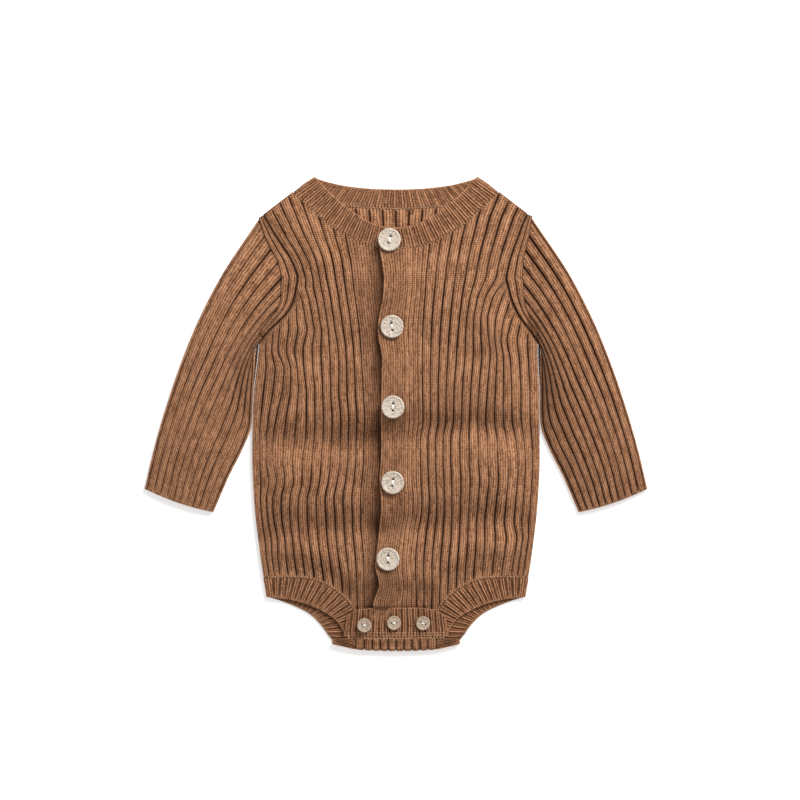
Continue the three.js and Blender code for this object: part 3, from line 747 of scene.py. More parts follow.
def rows_of(count: int, length: float, edge: tuple[float, ...] = (0.2, 0.6, 1.2, 2.2)) -> Array:
    """Space rows from 0 to 1, closer together at both ends.

    Args:
        count: Even steps between the ends.
        length: The length that 1 stands for.
        edge: Distances from the ends of the extra rows.

    Returns:
        The rows.
    """
    near = np.array(edge) / length
    even = np.linspace(0, 1, count + 1)
    inside = even[(even > near[-1] * 1.3) & (even < 1 - near[-1] * 1.3)]
    return np.concatenate([[0], near, inside, 1 - near[::-1], [1]])


def rounded(off: Array, radius: float = 1.1) -> Array:
    """The share of the wall's thickness that is left near a rounded edge.

    Args:
        off: Distance from the edge.
        radius: Where the wall is whole.

    Returns:
        Shares from 0.12 to 1.
    """
    return np.maximum(0.12, np.sqrt(1 - (1 - np.clip(off / radius, 0, 1)) ** 2))


@dataclass
class Shell:
    """A closed skin of cloth: an outer and an inner grid of points with rims between them."""

    outer: Array  # rows x columns x 3
    inner: Array
    knit: Array  # rows x columns x 3: wale, course, painted shade; one column more where it wraps
    cells: Array | None = None  # which cells hold cloth
    wraps: bool = False

    def faces(self) -> tuple[Array, Array]:
        """List the faces.

        Returns:
            The faces' four vertices, and for each corner its row in the flattened knit grid.
        """
        rows, cols = self.outer.shape[:2]
        span = cols if self.wraps else cols - 1
        stride = self.knit.shape[1]
        cells = np.ones((rows - 1, span), bool) if self.cells is None else self.cells

        def gone(step_j: int, step_i: int) -> Array:
            """Find the cells with no neighbour on one side.

            Args:
                step_j: Rows to the neighbour.
                step_i: Columns to the neighbour.

            Returns:
                Those cells.
            """
            wide = np.zeros((rows + 1, span + 2), bool)
            wide[1:-1, 1:-1] = cells
            if self.wraps:
                wide[1:-1, 0], wide[1:-1, -1] = cells[:, -1], cells[:, 0]
            return cells & ~wide[1 + step_j : rows + step_j, 1 + step_i : span + 1 + step_i]

        quads: list[Array] = []
        reads: list[Array] = []

        def add(mask: Array, corners: tuple[tuple[int, int, int], ...]) -> None:
            """Add a face for every chosen cell.

            Args:
                mask: The cells.
                corners: Each corner's skin, row and column, from the cell's own.
            """
            j, i = np.nonzero(mask)
            spots = [side * rows * cols + (j + b) * cols + (i + a) % cols for side, b, a in corners]
            quads.append(np.stack(spots, 1))
            reads.append(np.stack([(j + b) * stride + i + a for _, b, a in corners], 1))

        add(cells, ((0, 0, 0), (0, 0, 1), (0, 1, 1), (0, 1, 0)))
        add(cells, ((1, 0, 0), (1, 1, 0), (1, 1, 1), (1, 0, 1)))
        add(gone(-1, 0), ((0, 0, 1), (0, 0, 0), (1, 0, 0), (1, 0, 1)))
        add(gone(1, 0), ((0, 1, 0), (0, 1, 1), (1, 1, 1), (1, 1, 0)))
        add(gone(0, -1), ((0, 0, 0), (0, 1, 0), (1, 1, 0), (1, 0, 0)))
        add(gone(0, 1), ((0, 1, 1), (0, 0, 1), (1, 0, 1), (1, 1, 1)))
        return np.concatenate(quads), np.concatenate(reads)


def mesh_of(shells: Sequence[Shell], origin: Array, name: str) -> bpy.types.Mesh:
    """Join shells into one mesh, in metres.

    Args:
        shells: The shells.
        origin: The plan's origin in the frame.
        name: The mesh's name.

    Returns:
        The mesh, with the knit's coordinates on its corners.
    """
    points: list[Array] = []
    faces: list[Array] = []
    corners: list[Array] = []
    start = 0
    for shell in shells:
        grid = np.concatenate([shell.outer.reshape(-1, 3), shell.inner.reshape(-1, 3)])
        quads, reads = shell.faces()
        a, b, c = (grid[quads[:, k]] for k in range(3))
        d = grid[quads[:, 3]]
        volume = np.einsum("ij,ij->", a, np.cross(b, c)) + np.einsum("ij,ij->", a, np.cross(c, d))
        if volume < 0:
            quads, reads = quads[:, ::-1], reads[:, ::-1]
        used, quads = np.unique(quads, return_inverse=True)
        points.append(grid[used])
        faces.append(quads.reshape(-1, 4) + start)
        corners.append(shell.knit.reshape(-1, 3)[reads])
        start += len(used)
    mesh = bpy.data.meshes.new(name)
    mesh.from_pydata((np.concatenate(points) * MM + origin).tolist(), [], np.concatenate(faces).tolist())
    layer = mesh.attributes.new("knit", "FLOAT_VECTOR", "CORNER")
    layer.data.foreach_set("vector", np.concatenate(corners).astype(np.float32).ravel())
    mesh.shade_smooth()
    mesh.update()
    return mesh


def stack(x: Array, y: Array, z: Array) -> Array:
    """Put three arrays of coordinates together.

    Args:
        x: Places across.
        y: Places along.
        z: Heights.

    Returns:
        Points, with the coordinates on the last axis.
    """
    return np.stack(np.broadcast_arrays(x, y, z), axis=-1).astype(float)


@dataclass(frozen=True)
class Cut:
    """The flat cut that a piece of cloth is made from, in metres."""

    width: float
    length: float
    area: float | None = None


@dataclass
class Workshop:
    """What every piece of the garment is built with."""

    plan: BodyPlan
    loft: Loft
    origin: Array
    finishes: dict[str, bpy.types.Material]
    seams: dict[str, list[bpy.types.Object]] = field(default_factory=dict)

    def place(
        self, name: str, mesh: bpy.types.Mesh, finish: str, nodes: Sequence[str], slot: str | None
    ) -> bpy.types.Object:
        """Put a mesh in the scene as a piece of the garment.

        Args:
            name: The piece's name.
            mesh: Its mesh.
            finish: The finish it wears.
            nodes: The frame's nodes that it stands for.
            slot: Not used.

        Returns:
            The object.
        """
        mesh.materials.append(self.finishes[finish])
        piece = bpy.data.objects.new(name, mesh)
        bpy.context.scene.collection.objects.link(piece)
        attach(piece, "root")
        if nodes:
            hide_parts(*nodes)
        triangles = sum(len(face.vertices) - 2 for face in mesh.polygons)
        log.info("%s: %d triangles", name, triangles)
        return piece

    def cloth(
        self, name: str, shells: Sequence[Shell], finish: str, cut: Cut
    ) -> bpy.types.Object:
        """Put a laid piece of cloth in the scene.

        Args:
            name: The node that it stands for.
            shells: Its skins.
            finish: The finish it wears.
            cut: Not used.

        Returns:
            The object.
        """
        knitted = name + "_knit"
        piece = self.place(knitted, mesh_of(shells, self.origin, knitted), finish, [name], finish)
        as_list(self.seams.get(name, []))
        return piece

    def sew(self, chain: "Chain") -> None:
        """Put a seam's loops in the scene.

        Args:
            chain: The seam.
        """
        loops = self.place(chain.name, chain.mesh(self.origin), chain.finish, [], None)
        self.seams.setdefault(chain.on, []).append(loops)


# ---------------------------------------------------------------- the pieces of the body


@dataclass
class Lay:
    """Where the points of a panel lie in plan, rows by columns."""

    v: Array  # 0 at the lower edge, 1 at the armhole's corner, 2 at the neck
    x: Array
    y: Array
    border: Array  # distance from the nearest edge
    seam: Array  # distance from the armhole
    top: Array  # distance from the neck or shoulder
    cells: Array  # which cells hold cloth

    @classmethod
    def of(
        cls,
        plan: BodyPlan,
        neck: Table,
        low: Array,
        q: Array,
        x_at: Callable[[Array, Array], Array],
        rows: tuple[int, int],
    ) -> "Lay":
        """Lay a panel's grid out.

        Args:
            plan: The body's plan.
            neck: The panel's neckline.
            low: Where each column starts.
            q: The columns.
            x_at: Where the panel's ribs lie, from their q and the height.
            rows: Rows below and above the armhole's corner.

        Returns:
            The grid.
        """
        middle, top = plan.middle(x_at, q), plan.top(neck, x_at, q)
        lower, upper = rows_of(rows[0], 235), rows_of(rows[1], 50)[1:] + 1
        v = np.concatenate([lower, upper])[:, None]
        y = np.where(v <= 1, mix(low, middle, v), mix(middle, top, v - 1))
        x = x_at(q[None, :], y)
        outside = np.abs(q) > ARM_Q + 1e-6
        side = np.where(y < plan.underarm.end("y") + 4, SIDE_Q - np.abs(q), 99)
        seam = cls.from_armholes(plan, x, y)
        above = np.where(outside, 99, top - y)
        ends = np.minimum(y - low, above)
        cells = np.ones((len(v) - 1, len(q) - 1), bool)
        cells[len(lower) - 1 :, (np.abs(q[1:]) + np.abs(q[:-1])) / 2 > ARM_Q] = False
        return cls(v, x, y, np.minimum.reduce([ends, side, seam]), seam, above, cells)

    @staticmethod
    def from_armholes(plan: BodyPlan, x: Array, y: Array) -> Array:
        """Measure how far points lie from the armholes.

        Args:
            plan: The body's plan.
            x: Places across.
            y: Heights.

        Returns:
            Distances in plan.
        """
        nearest = np.full(x.shape, 99.0)
        high = y > plan.underarm.end("y") - 10
        for side in (1, -1):
            for along_x, along_y in plan.armhole(side).at(np.linspace(0, 1, 160)):
                away = np.hypot(x[high] - side * along_x, y[high] - along_y)
                nearest[high] = np.minimum(nearest[high], away)
        return nearest


def selvedge(seam: Array) -> Array:
    """The dips between the two stitches that run along an armhole's seam.

    Args:
        seam: Distance from the seam.

    Returns:
        Shares from 0 on a stitch to 1 in a dip.
    """
    return (0.5 + 0.5 * np.cos(2 * math.pi * seam / 2.3)) * smooth(5.4, 4.4, seam)


@dataclass
class FrontPanel:
    """One front: a plain placket, then ribs out to the armhole and on to the side seam."""

    name: str
    side: int
    runs: list[tuple[float, float, int, Knit]]
    knots: tuple[float, ...]  # the ribs that the sway's columns stand for
    sway: Table  # how far the folds push those ribs sideways
    cut: Cut
    over: bool
    lower_rows: int = 96
    upper_rows: int = 20

    def x_at(self, plan: BodyPlan, q: Array, y: Array) -> Array:
        """Where a rib of this front lies.

        Args:
            plan: The body's plan.
            q: Ribs.
            y: Heights.

        Returns:
            Places across.
        """
        places = np.array([*self.knots, SIDE_Q])
        weights = np.eye(len(places))
        x = plan.rib_x(q, y)
        for k, name in enumerate(self.sway.names[1:]):
            x = x + np.interp(self.side * q, places, weights[k]) * self.sway(name, y)
        return x

    def shell(self, plan: BodyPlan, loft: Loft) -> Shell:
        """Knit the front.

        Args:
            plan: The body's plan.
            loft: The height of the cloth.

        Returns:
            Its skin.
        """
        columns = Columns.of(self.runs)
        q = columns.place

        def x_at(ribs: Array, y: Array) -> Array:
            """Find where ribs lie across.

            Args:
                ribs: Their q.
                y: Heights.

            Returns:
                Places across.
            """
            return self.x_at(plan, ribs, y)

        hem = plan.bottom(plan.front_leg, x_at, q)
        lay = Lay.of(plan, plan.front_neck, hem, q, x_at, (self.lower_rows, self.upper_rows))
        x, y = lay.x, lay.y
        border = np.minimum(lay.border, np.abs(q - self.runs[0][0]))
        whole = rounded(border)
        depth = smooth(0, 2.5, border) * smooth(1, 5.5, lay.seam) * self.openness_and_painted_shade(x, y)
        edging = selvedge(lay.seam)
        height = loft.over(x, y) if self.over else loft.under(x, y)
        height = height - SEAM_DIP * np.exp(-((lay.seam / SEAM_DIP_REACH) ** 2))
        top_face = height + whole * (WALL / 2 - columns.drop * depth - 0.35 * edging)
        low_face = height - whole * WALL / 2
        # painted shade: darker along the sunk armhole seam, in the dips beside it and in the grooves
        at_seam = np.exp(-((lay.seam / SEAM_SHADE_REACH) ** 2))
        shade = (1 - (1 - columns.shade) * depth - EDGE_SHADE * edging) * (1 - SEAM_SHADE * at_seam)
        # painted shade: darker at the neck and shoulder edge, under the neckband's seam
        shade = shade * smooth(-0.9, 1.8, lay.top)
        # painted shade: a dark line in the crease just above the crotch band
        crease = np.exp(-(((y - CROTCH_TOP - 0.3) / 1.3) ** 2)) * smooth(42, 34, np.abs(x))
        # painted shade: the knit darker in and above the folds of the fronts
        shade = shade * (1 - CROTCH_SHADE * crease) * (1 - FOLD_SHADE * loft.fold_shade(x, y))
        # painted shadow: the under front darker beside the placket's free edge
        if not self.over:
            beside = np.exp(-(((x - PLACKET_EDGE_Q + 4) / 5) ** 2))
            shade = shade * (1 - PLACKET_SHADE * beside * smooth(330, 312, y))
        knit = stack(columns.wale, y / COURSE, shade)
        return Shell(stack(x, y, top_face), stack(x, y, low_face), knit, lay.cells)

    def openness_and_painted_shade(self, x: Array, y: Array) -> Array:
        """How deep the grooves lie, and so how dark their painted shade is, as they open and close over the
        body.

        Args:
            x: Places across.
            y: Heights.

        Returns:
            Shares of a groove's full depth.
        """
        slow = Waves(31, 45, 120)(x, y)
        quick = Waves(32, 9, 22)(x * 2, y * 0.25)
        stretched = 0.5 * np.exp(-(((y - 155) / 14) ** 2)) * smooth(20, 60, np.abs(x))
        return np.clip(0.86 + 0.2 * slow + 0.16 * quick - stretched, 0.15, 1.1)


@dataclass
class BackPanel:
    """The back, which lies on the surface; its narrow end folds up over the fronts."""

    name: str = "back_panel"
    cut: Cut = Cut(0.224, 0.354, 0.0648)
    inside_groove: float = 0.45
    fold_groove: float = 0.5  # how deep the grooves lie where the end is folded up

    @staticmethod
    def fold_line(x: Array | float) -> Array:
        """Where the fold at the crotch starts.

        Args:
            x: Places across.

        Returns:
            Heights.
        """
        return CROTCH_TURN + WALL / 2 + 3.6 * (np.abs(x) / 50) ** 2.2

    def folded(self, loft: Loft, x: Array, low: Array, share: Array, offset: Array) -> Array:
        """Fold the end round the crotch and up.

        Args:
            loft: The height of the cloth.
            x: Places across.
            low: Where the fold starts.
            share: 0 to 1 round the fold, 1 to 2 up to the seam.
            offset: Distance from the middle of the cloth.

        Returns:
            Points.
        """
        turn = math.pi * np.minimum(1, share)
        reach = CROTCH_TURN + offset
        up = mix(low, FLAP_TOP, np.clip(share - 1, 0, 1))
        y = np.where(share <= 1, low - reach * np.sin(turn), up)
        z = np.where(share <= 1, BACK_Z + CROTCH_TURN - reach * np.cos(turn), loft.flap(x, up) + offset)
        return stack(x, y, z)

    def shell(self, plan: BodyPlan, loft: Loft) -> Shell:
        """Knit the back.

        Args:
            plan: The body's plan.
            loft: The height of the cloth.

        Returns:
            Its skin.
        """
        wide = Knit.WIDE
        runs = [
            (-SIDE_Q, -ARM_Q, 6, wide),
            (-ARM_Q, -FLAP_Q, 6, wide),
            (-FLAP_Q, 0, 5, wide),
            (0, FLAP_Q, 5, wide),
            (FLAP_Q, ARM_Q, 6, wide),
            (ARM_Q, SIDE_Q, 6, wide),
        ]
        columns = Columns.of(runs)
        q = columns.place
        in_flap = np.abs(q) <= FLAP_Q + 1e-6
        flap_x = plan.straight_x(q, np.array(5.0))
        low = np.where(in_flap, self.fold_line(flap_x), plan.bottom(plan.back_leg, plan.straight_x, q))
        lay = Lay.of(plan, plan.back_neck, low, q, plan.back_x, (50, 14))
        flap = -np.concatenate([2 - rows_of(7, 8)[:-1], rows_of(14, 9, (0.3,))[::-1][:-1]])[:, None]
        v = np.concatenate([flap, lay.v])
        y = np.concatenate([np.broadcast_to(low, (len(flap), len(q))), lay.y])
        x = np.concatenate([np.broadcast_to(flap_x, (len(flap), len(q))), lay.x])
        border = np.where(in_flap & (lay.y < 60), 99, lay.border)
        seam = np.minimum((flap + 2) * 8, FLAP_Q - np.abs(q))
        border = np.concatenate([seam, border])
        whole = rounded(border)
        depth = smooth(0, 2.5, border) * np.where(v < 0, self.fold_groove, 1)
        drop = columns.drop * depth
        ridge = self.inside_groove * (1 - columns.shade) * depth
        out, inside = whole * (WALL / 2 - drop), whole * (WALL / 2 - self.inside_groove + ridge)
        laid = [stack(x, y, BACK_Z - np.minimum(out, WALL / 2)), stack(x, y, BACK_Z + inside)]
        share = np.maximum(-v, 0)
        up = [self.folded(loft, x, low, share, out), self.folded(loft, x, low, share, -inside)]
        outer, inner = (np.where((v < 0)[:, :, None], b, a) for a, b in zip(laid, up, strict=True))
        length = np.where(v < 0, low + v * 8, y)
        fold_cells = np.broadcast_to((np.abs(q[1:]) + np.abs(q[:-1])) / 2 < FLAP_Q, (len(flap), len(q) - 1))
        cells = np.concatenate([fold_cells, lay.cells])
        # painted shade in the grooves
        shade = 1 - (1 - columns.shade) * smooth(0, 2.5, border)
        return Shell(outer, inner, stack(columns.wale, length / COURSE, shade), cells)


# ---------------------------------------------------------------- bands


@dataclass
class Run:
    """A flat stretch of a band between its joined and its free edge."""

    ribs: int
    joined: Line
    free: Line
    height: Callable[[Array, Array], Array]
    up: int  # +1 where the outer face looks up

    def points(self, share: Array, v: Array, offset: Array) -> Array:
        """Lay the stretch.

        Args:
            share: Shares along it.
            v: Shares from the joined to the free edge.
            offset: Distance outwards from the middle of the cloth.

        Returns:
            Points, rows by columns.
        """
        start, end = self.joined.at(share)[None], self.free.at(share)[None]
        gap = SEAM_PLAN / np.linalg.norm(end - start, axis=-1, keepdims=True)
        base = mix(start, end, mix(gap, 1, v[:, None, None]))
        x, y = base[..., 0], base[..., 1]
        return stack(x, y, self.height(x, y) + self.up * offset)


@dataclass
class Turn:
    """A half turn of a band, where it folds from front to back."""

    joined: tuple[float, float]
    free: tuple[float, float]
    out: tuple[float, float]
    radius: float
    first: int  # +1 where the turn starts from above
    ribs: int = 1
    tight: float = 1.0  # how far the joined edge stands out against the free one

    def points(self, share: Array, v: Array, offset: Array) -> Array:
        """Lay the turn.

        Args:
            share: Shares round it.
            v: Shares from the joined to the free edge.
            offset: Distance outwards from the middle of the cloth.

        Returns:
            Points, rows by columns.
        """
        start, end = np.array(self.joined, float), np.array(self.free, float)
        gap = SEAM_PLAN / np.linalg.norm(end - start)
        base = mix(start, end, mix(gap, 1, v[:, None, None]))
        out = np.array(self.out) / np.linalg.norm(self.out)
        reach = self.radius + offset
        angle = math.pi * share[None, :]
        reach_out = reach * np.sin(angle) * mix(self.tight, 1, smooth(0, 0.6, v))[:, None]
        x = base[..., 0] + out[0] * reach_out
        y = base[..., 1] + out[1] * reach_out
        return stack(x, y, BACK_Z + self.radius + self.first * reach * np.cos(angle))


@dataclass
class Band:
    """A ribbed band, knitted crosswise and joined along one edge."""

    name: str
    legs: list[Run | Turn]
    knit: Knit
    width: float
    pitch: float
    cut: Cut
    both_sides: float = 0.8  # how deep the inside's grooves are against the outside's
    rows: int = 11

    def shell(self) -> Shell:
        """Knit the band.

        Returns:
            Its skin.
        """
        rib: Rib = self.knit.value
        total = sum(leg.ribs for leg in self.legs)
        v = rows_of(self.rows, self.width, (0.25, 0.7, 1.4))
        outer: list[Array] = []
        inner: list[Array] = []
        knit: list[Array] = []
        start = 0
        for k, leg in enumerate(self.legs):
            kind = self.knit if isinstance(leg, Run) else Knit.PLAIN
            at_fold = tuple(np.linspace(0, 1, TURN_COLUMNS, endpoint=False))
            phases = kind.value.phases if isinstance(leg, Run) else at_fold
            share = np.array([(n + phase) / leg.ribs for n in range(leg.ribs) for phase in phases])
            if k == len(self.legs) - 1:
                share = np.append(share, 1.0)
            count = start + share * leg.ribs
            flat = 1.0 if isinstance(leg, Run) else 0.0
            ends = np.minimum(count, total - count) * self.pitch
            border = np.minimum(np.minimum(v, 1 - v)[:, None] * self.width, ends[None, :])
            whole, depth = rounded(border, 1.2), smooth(0, 2.2, border)
            drop = rib.drop(count) * flat * depth + rib.crown * (1 - flat)
            back = rib.drop(count + 0.5) * flat * depth * self.both_sides
            outer.append(leg.points(share, v, whole * (WALL / 2 - drop)))
            inner.append(leg.points(share, v, -whole * (WALL / 2 - np.minimum(back, 0.9))))
            # painted shade: darker in the grooves, and along the joined edge under the seam's loops
            shade = 1 - (1 - rib.shade(count)) * depth * (0.5 + 0.5 * flat)
            shade = shade * smooth(-0.9, 1.8, v * self.width)[:, None]
            knit.append(stack(count * rib.wales + 0.5, v[:, None] * self.width / COURSE, shade))
            start += leg.ribs
        return Shell(np.concatenate(outer, 1), np.concatenate(inner, 1), np.concatenate(knit, 1))


def mirrored(points: Points, side: int) -> list[tuple[float, float]]:
    """Mirror plan points.

    Args:
        points: Points of the wearer's left.
        side: +1 keeps them, -1 mirrors them.

    Returns:
        The points.
    """
    return [(side * x, y) for x, y in points]


@dataclass
class LegBand:
    """A band from the front of the crotch round the leg opening to the folded-up end of the back."""

    name: str
    side: int
    front_edge: Points = ((98.8, 42), (84, 40.2), (70, 36.6), (57, 31), (47.5, 24.5), (42, 17), (40, 11))
    back_edge: Points = ((98.8, 42), (90, 39.2), (79, 35), (67.5, 29), (58.3, 20), (53, 12.5), (49.8, 8.8))
    flap_edge: Points = ((49.8, 8.8), (46.5, 9.6), (43, 10.4))
    flap_side: float = 31.2
    side_x: float = 101.4
    front_ribs: int = 18
    back_ribs: int = 18
    cut: Cut = Cut(0.2, 0.0175)

    def edge(self, table: Table, start: float, finish: float) -> list[tuple[float, float]]:
        """Follow a panel's lower edge.

        Args:
            table: The edge.
            start: Where to start across.
            finish: Where to finish.

        Returns:
            Points on the edge.
        """
        x = np.linspace(start, finish, 25)
        return mirrored(list(zip(x, table("y", x), strict=True)), self.side)

    def band(self, plan: BodyPlan, loft: Loft) -> Band:
        """Lay out the band.

        Args:
            plan: The body's plan.
            loft: The height of the cloth.

        Returns:
            The band.
        """
        side, flap = self.side, self.flap_side
        fold = float(BackPanel.fold_line(flap))
        rise = [(flap, fold), (flap, mix(fold, FLAP_TOP, 0.5)), (flap, FLAP_TOP - 0.8)]
        legs: list[Run | Turn] = [
            Run(
                self.front_ribs,
                Line(self.edge(plan.front_leg, 23.8, self.side_x)),
                Line(mirrored(self.front_edge, side)[::-1]),
                loft.under,
                1,
            ),
            Turn((side * self.side_x, 57.5), (side * 98.8, 42), (side, 0), EDGE_TURN, 1),
            Run(
                self.back_ribs,
                Line([*self.edge(plan.back_leg, self.side_x, flap + 0.4), (side * flap, fold)]),
                Line(mirrored(self.back_edge, side)),
                lambda x, y: np.full_like(x, BACK_Z),
                -1,
            ),
            Turn((side * flap, fold), (side * 49.8, 8.8), (0, -1), CROTCH_TURN, -1),
            Run(2, Line(mirrored(rise, side)), Line(mirrored(self.flap_edge, side)), loft.flap, 1),
        ]
        return Band(self.name, legs, Knit.BAND, 17.5, 4.6, self.cut)


@dataclass
class Neckband:
    """The band round the neck, from the placket's free edge to its hidden one."""

    front_edge: Points = ((61.8, 368.4), (51, 357.5), (40, 347.5), (27, 338.3), (13.5, 332), (0, 330))
    back_edge: Points = ((61.8, 368.4), (54, 366), (42, 363.2), (23, 360.8), (0, 360))
    joined: tuple[float, float] = (79.3, 357.2)
    free: tuple[float, float] = (61.8, 368.4)
    over_ribs: int = 15
    back_ribs: int = 23
    under_ribs: int = 14
    cut: Cut = Cut(0.37, 0.018)

    def edge(self, table: Table, start: float, finish: float) -> list[tuple[float, float]]:
        """Follow a panel's neckline.

        Args:
            table: The neckline.
            start: Where to start across.
            finish: Where to finish.

        Returns:
            Points on the neckline.
        """
        x = np.linspace(start, finish, 25)
        return list(zip(x, table("y", np.abs(x)), strict=True))

    def band(self, plan: BodyPlan, loft: Loft) -> Band:
        """Lay out the band.

        Args:
            plan: The body's plan.
            loft: The height of the cloth.

        Returns:
            The band.
        """

        def turn(side: int, first: int) -> Turn:
            """Fold the band over at a shoulder.

            Args:
                side: +1 for the wearer's left.
                first: +1 where it turns down, -1 where it turns up.

            Returns:
                The fold.
            """
            joined, free = (side * self.joined[0], self.joined[1]), (side * self.free[0], self.free[1])
            return Turn(joined, free, (side * 0.66, 0.75), EDGE_TURN, first, tight=0.5)

        start = PLACKET_EDGE_Q + 0.5
        over = [*self.front_edge, (start, 330.4)][::-1]
        under = mirrored([*self.front_edge[:-1], (-UNDER_EDGE_Q, 330.2)], -1)
        back = [*self.back_edge, *mirrored(self.back_edge, -1)[-2::-1]]
        corner = self.joined[0]
        legs: list[Run | Turn] = [
            Run(self.over_ribs, Line(self.edge(plan.front_neck, start, corner)), Line(over), loft.over, 1),
            turn(1, 1),
            Run(
                self.back_ribs,
                Line(self.edge(plan.back_neck, corner, -corner)),
                Line(back),
                lambda x, y: np.full_like(x, BACK_Z),
                -1,
            ),
            turn(-1, -1),
            Run(
                self.under_ribs,
                Line(self.edge(plan.front_neck, -corner, UNDER_EDGE_Q)),
                Line(under),
                loft.under,
                1,
            ),
        ]
        return Band("neckband", legs, Knit.NECK, 18, 6, self.cut)


@dataclass
class CrotchBand:
    """The band that is sewn to the back's folded-up end and buttons over the fronts."""

    name: str = "crotch_band"
    half: float = 41
    ribs: int = 18
    cut: Cut = Cut(0.082, 0.023)

    def shell(self, loft: Loft) -> Shell:
        """Knit the band.

        Args:
            loft: The height of the cloth.

        Returns:
            Its skin.
        """
        columns = Columns.of([(-1, 1, self.ribs, Knit.BAND)])
        v = rows_of(14, 23)[:, None]
        across = columns.place[None, :]
        high = CROTCH_TOP - 7 * np.abs(across) ** 5
        x = across * mix(self.half, self.half - 2.5, v)
        y = mix(FLAP_TOP + 0.3, high, v)
        border = np.minimum(np.minimum(v, 1 - v) * 23, (1 - np.abs(across)) * self.half)
        whole, depth = rounded(border, 1.2), smooth(0, 1.2, border)
        height = loft.flap(x, y)
        outer = height + whole * (WALL / 2 - columns.drop * depth)
        # painted shade in the grooves
        shade = 1 - (1 - columns.shade) * depth
        knit = stack(columns.wale + 0.5, y / COURSE, shade)
        return Shell(stack(x, y, outer), stack(x, y, height - whole * WALL / 2), knit)


# ---------------------------------------------------------------- sleeves


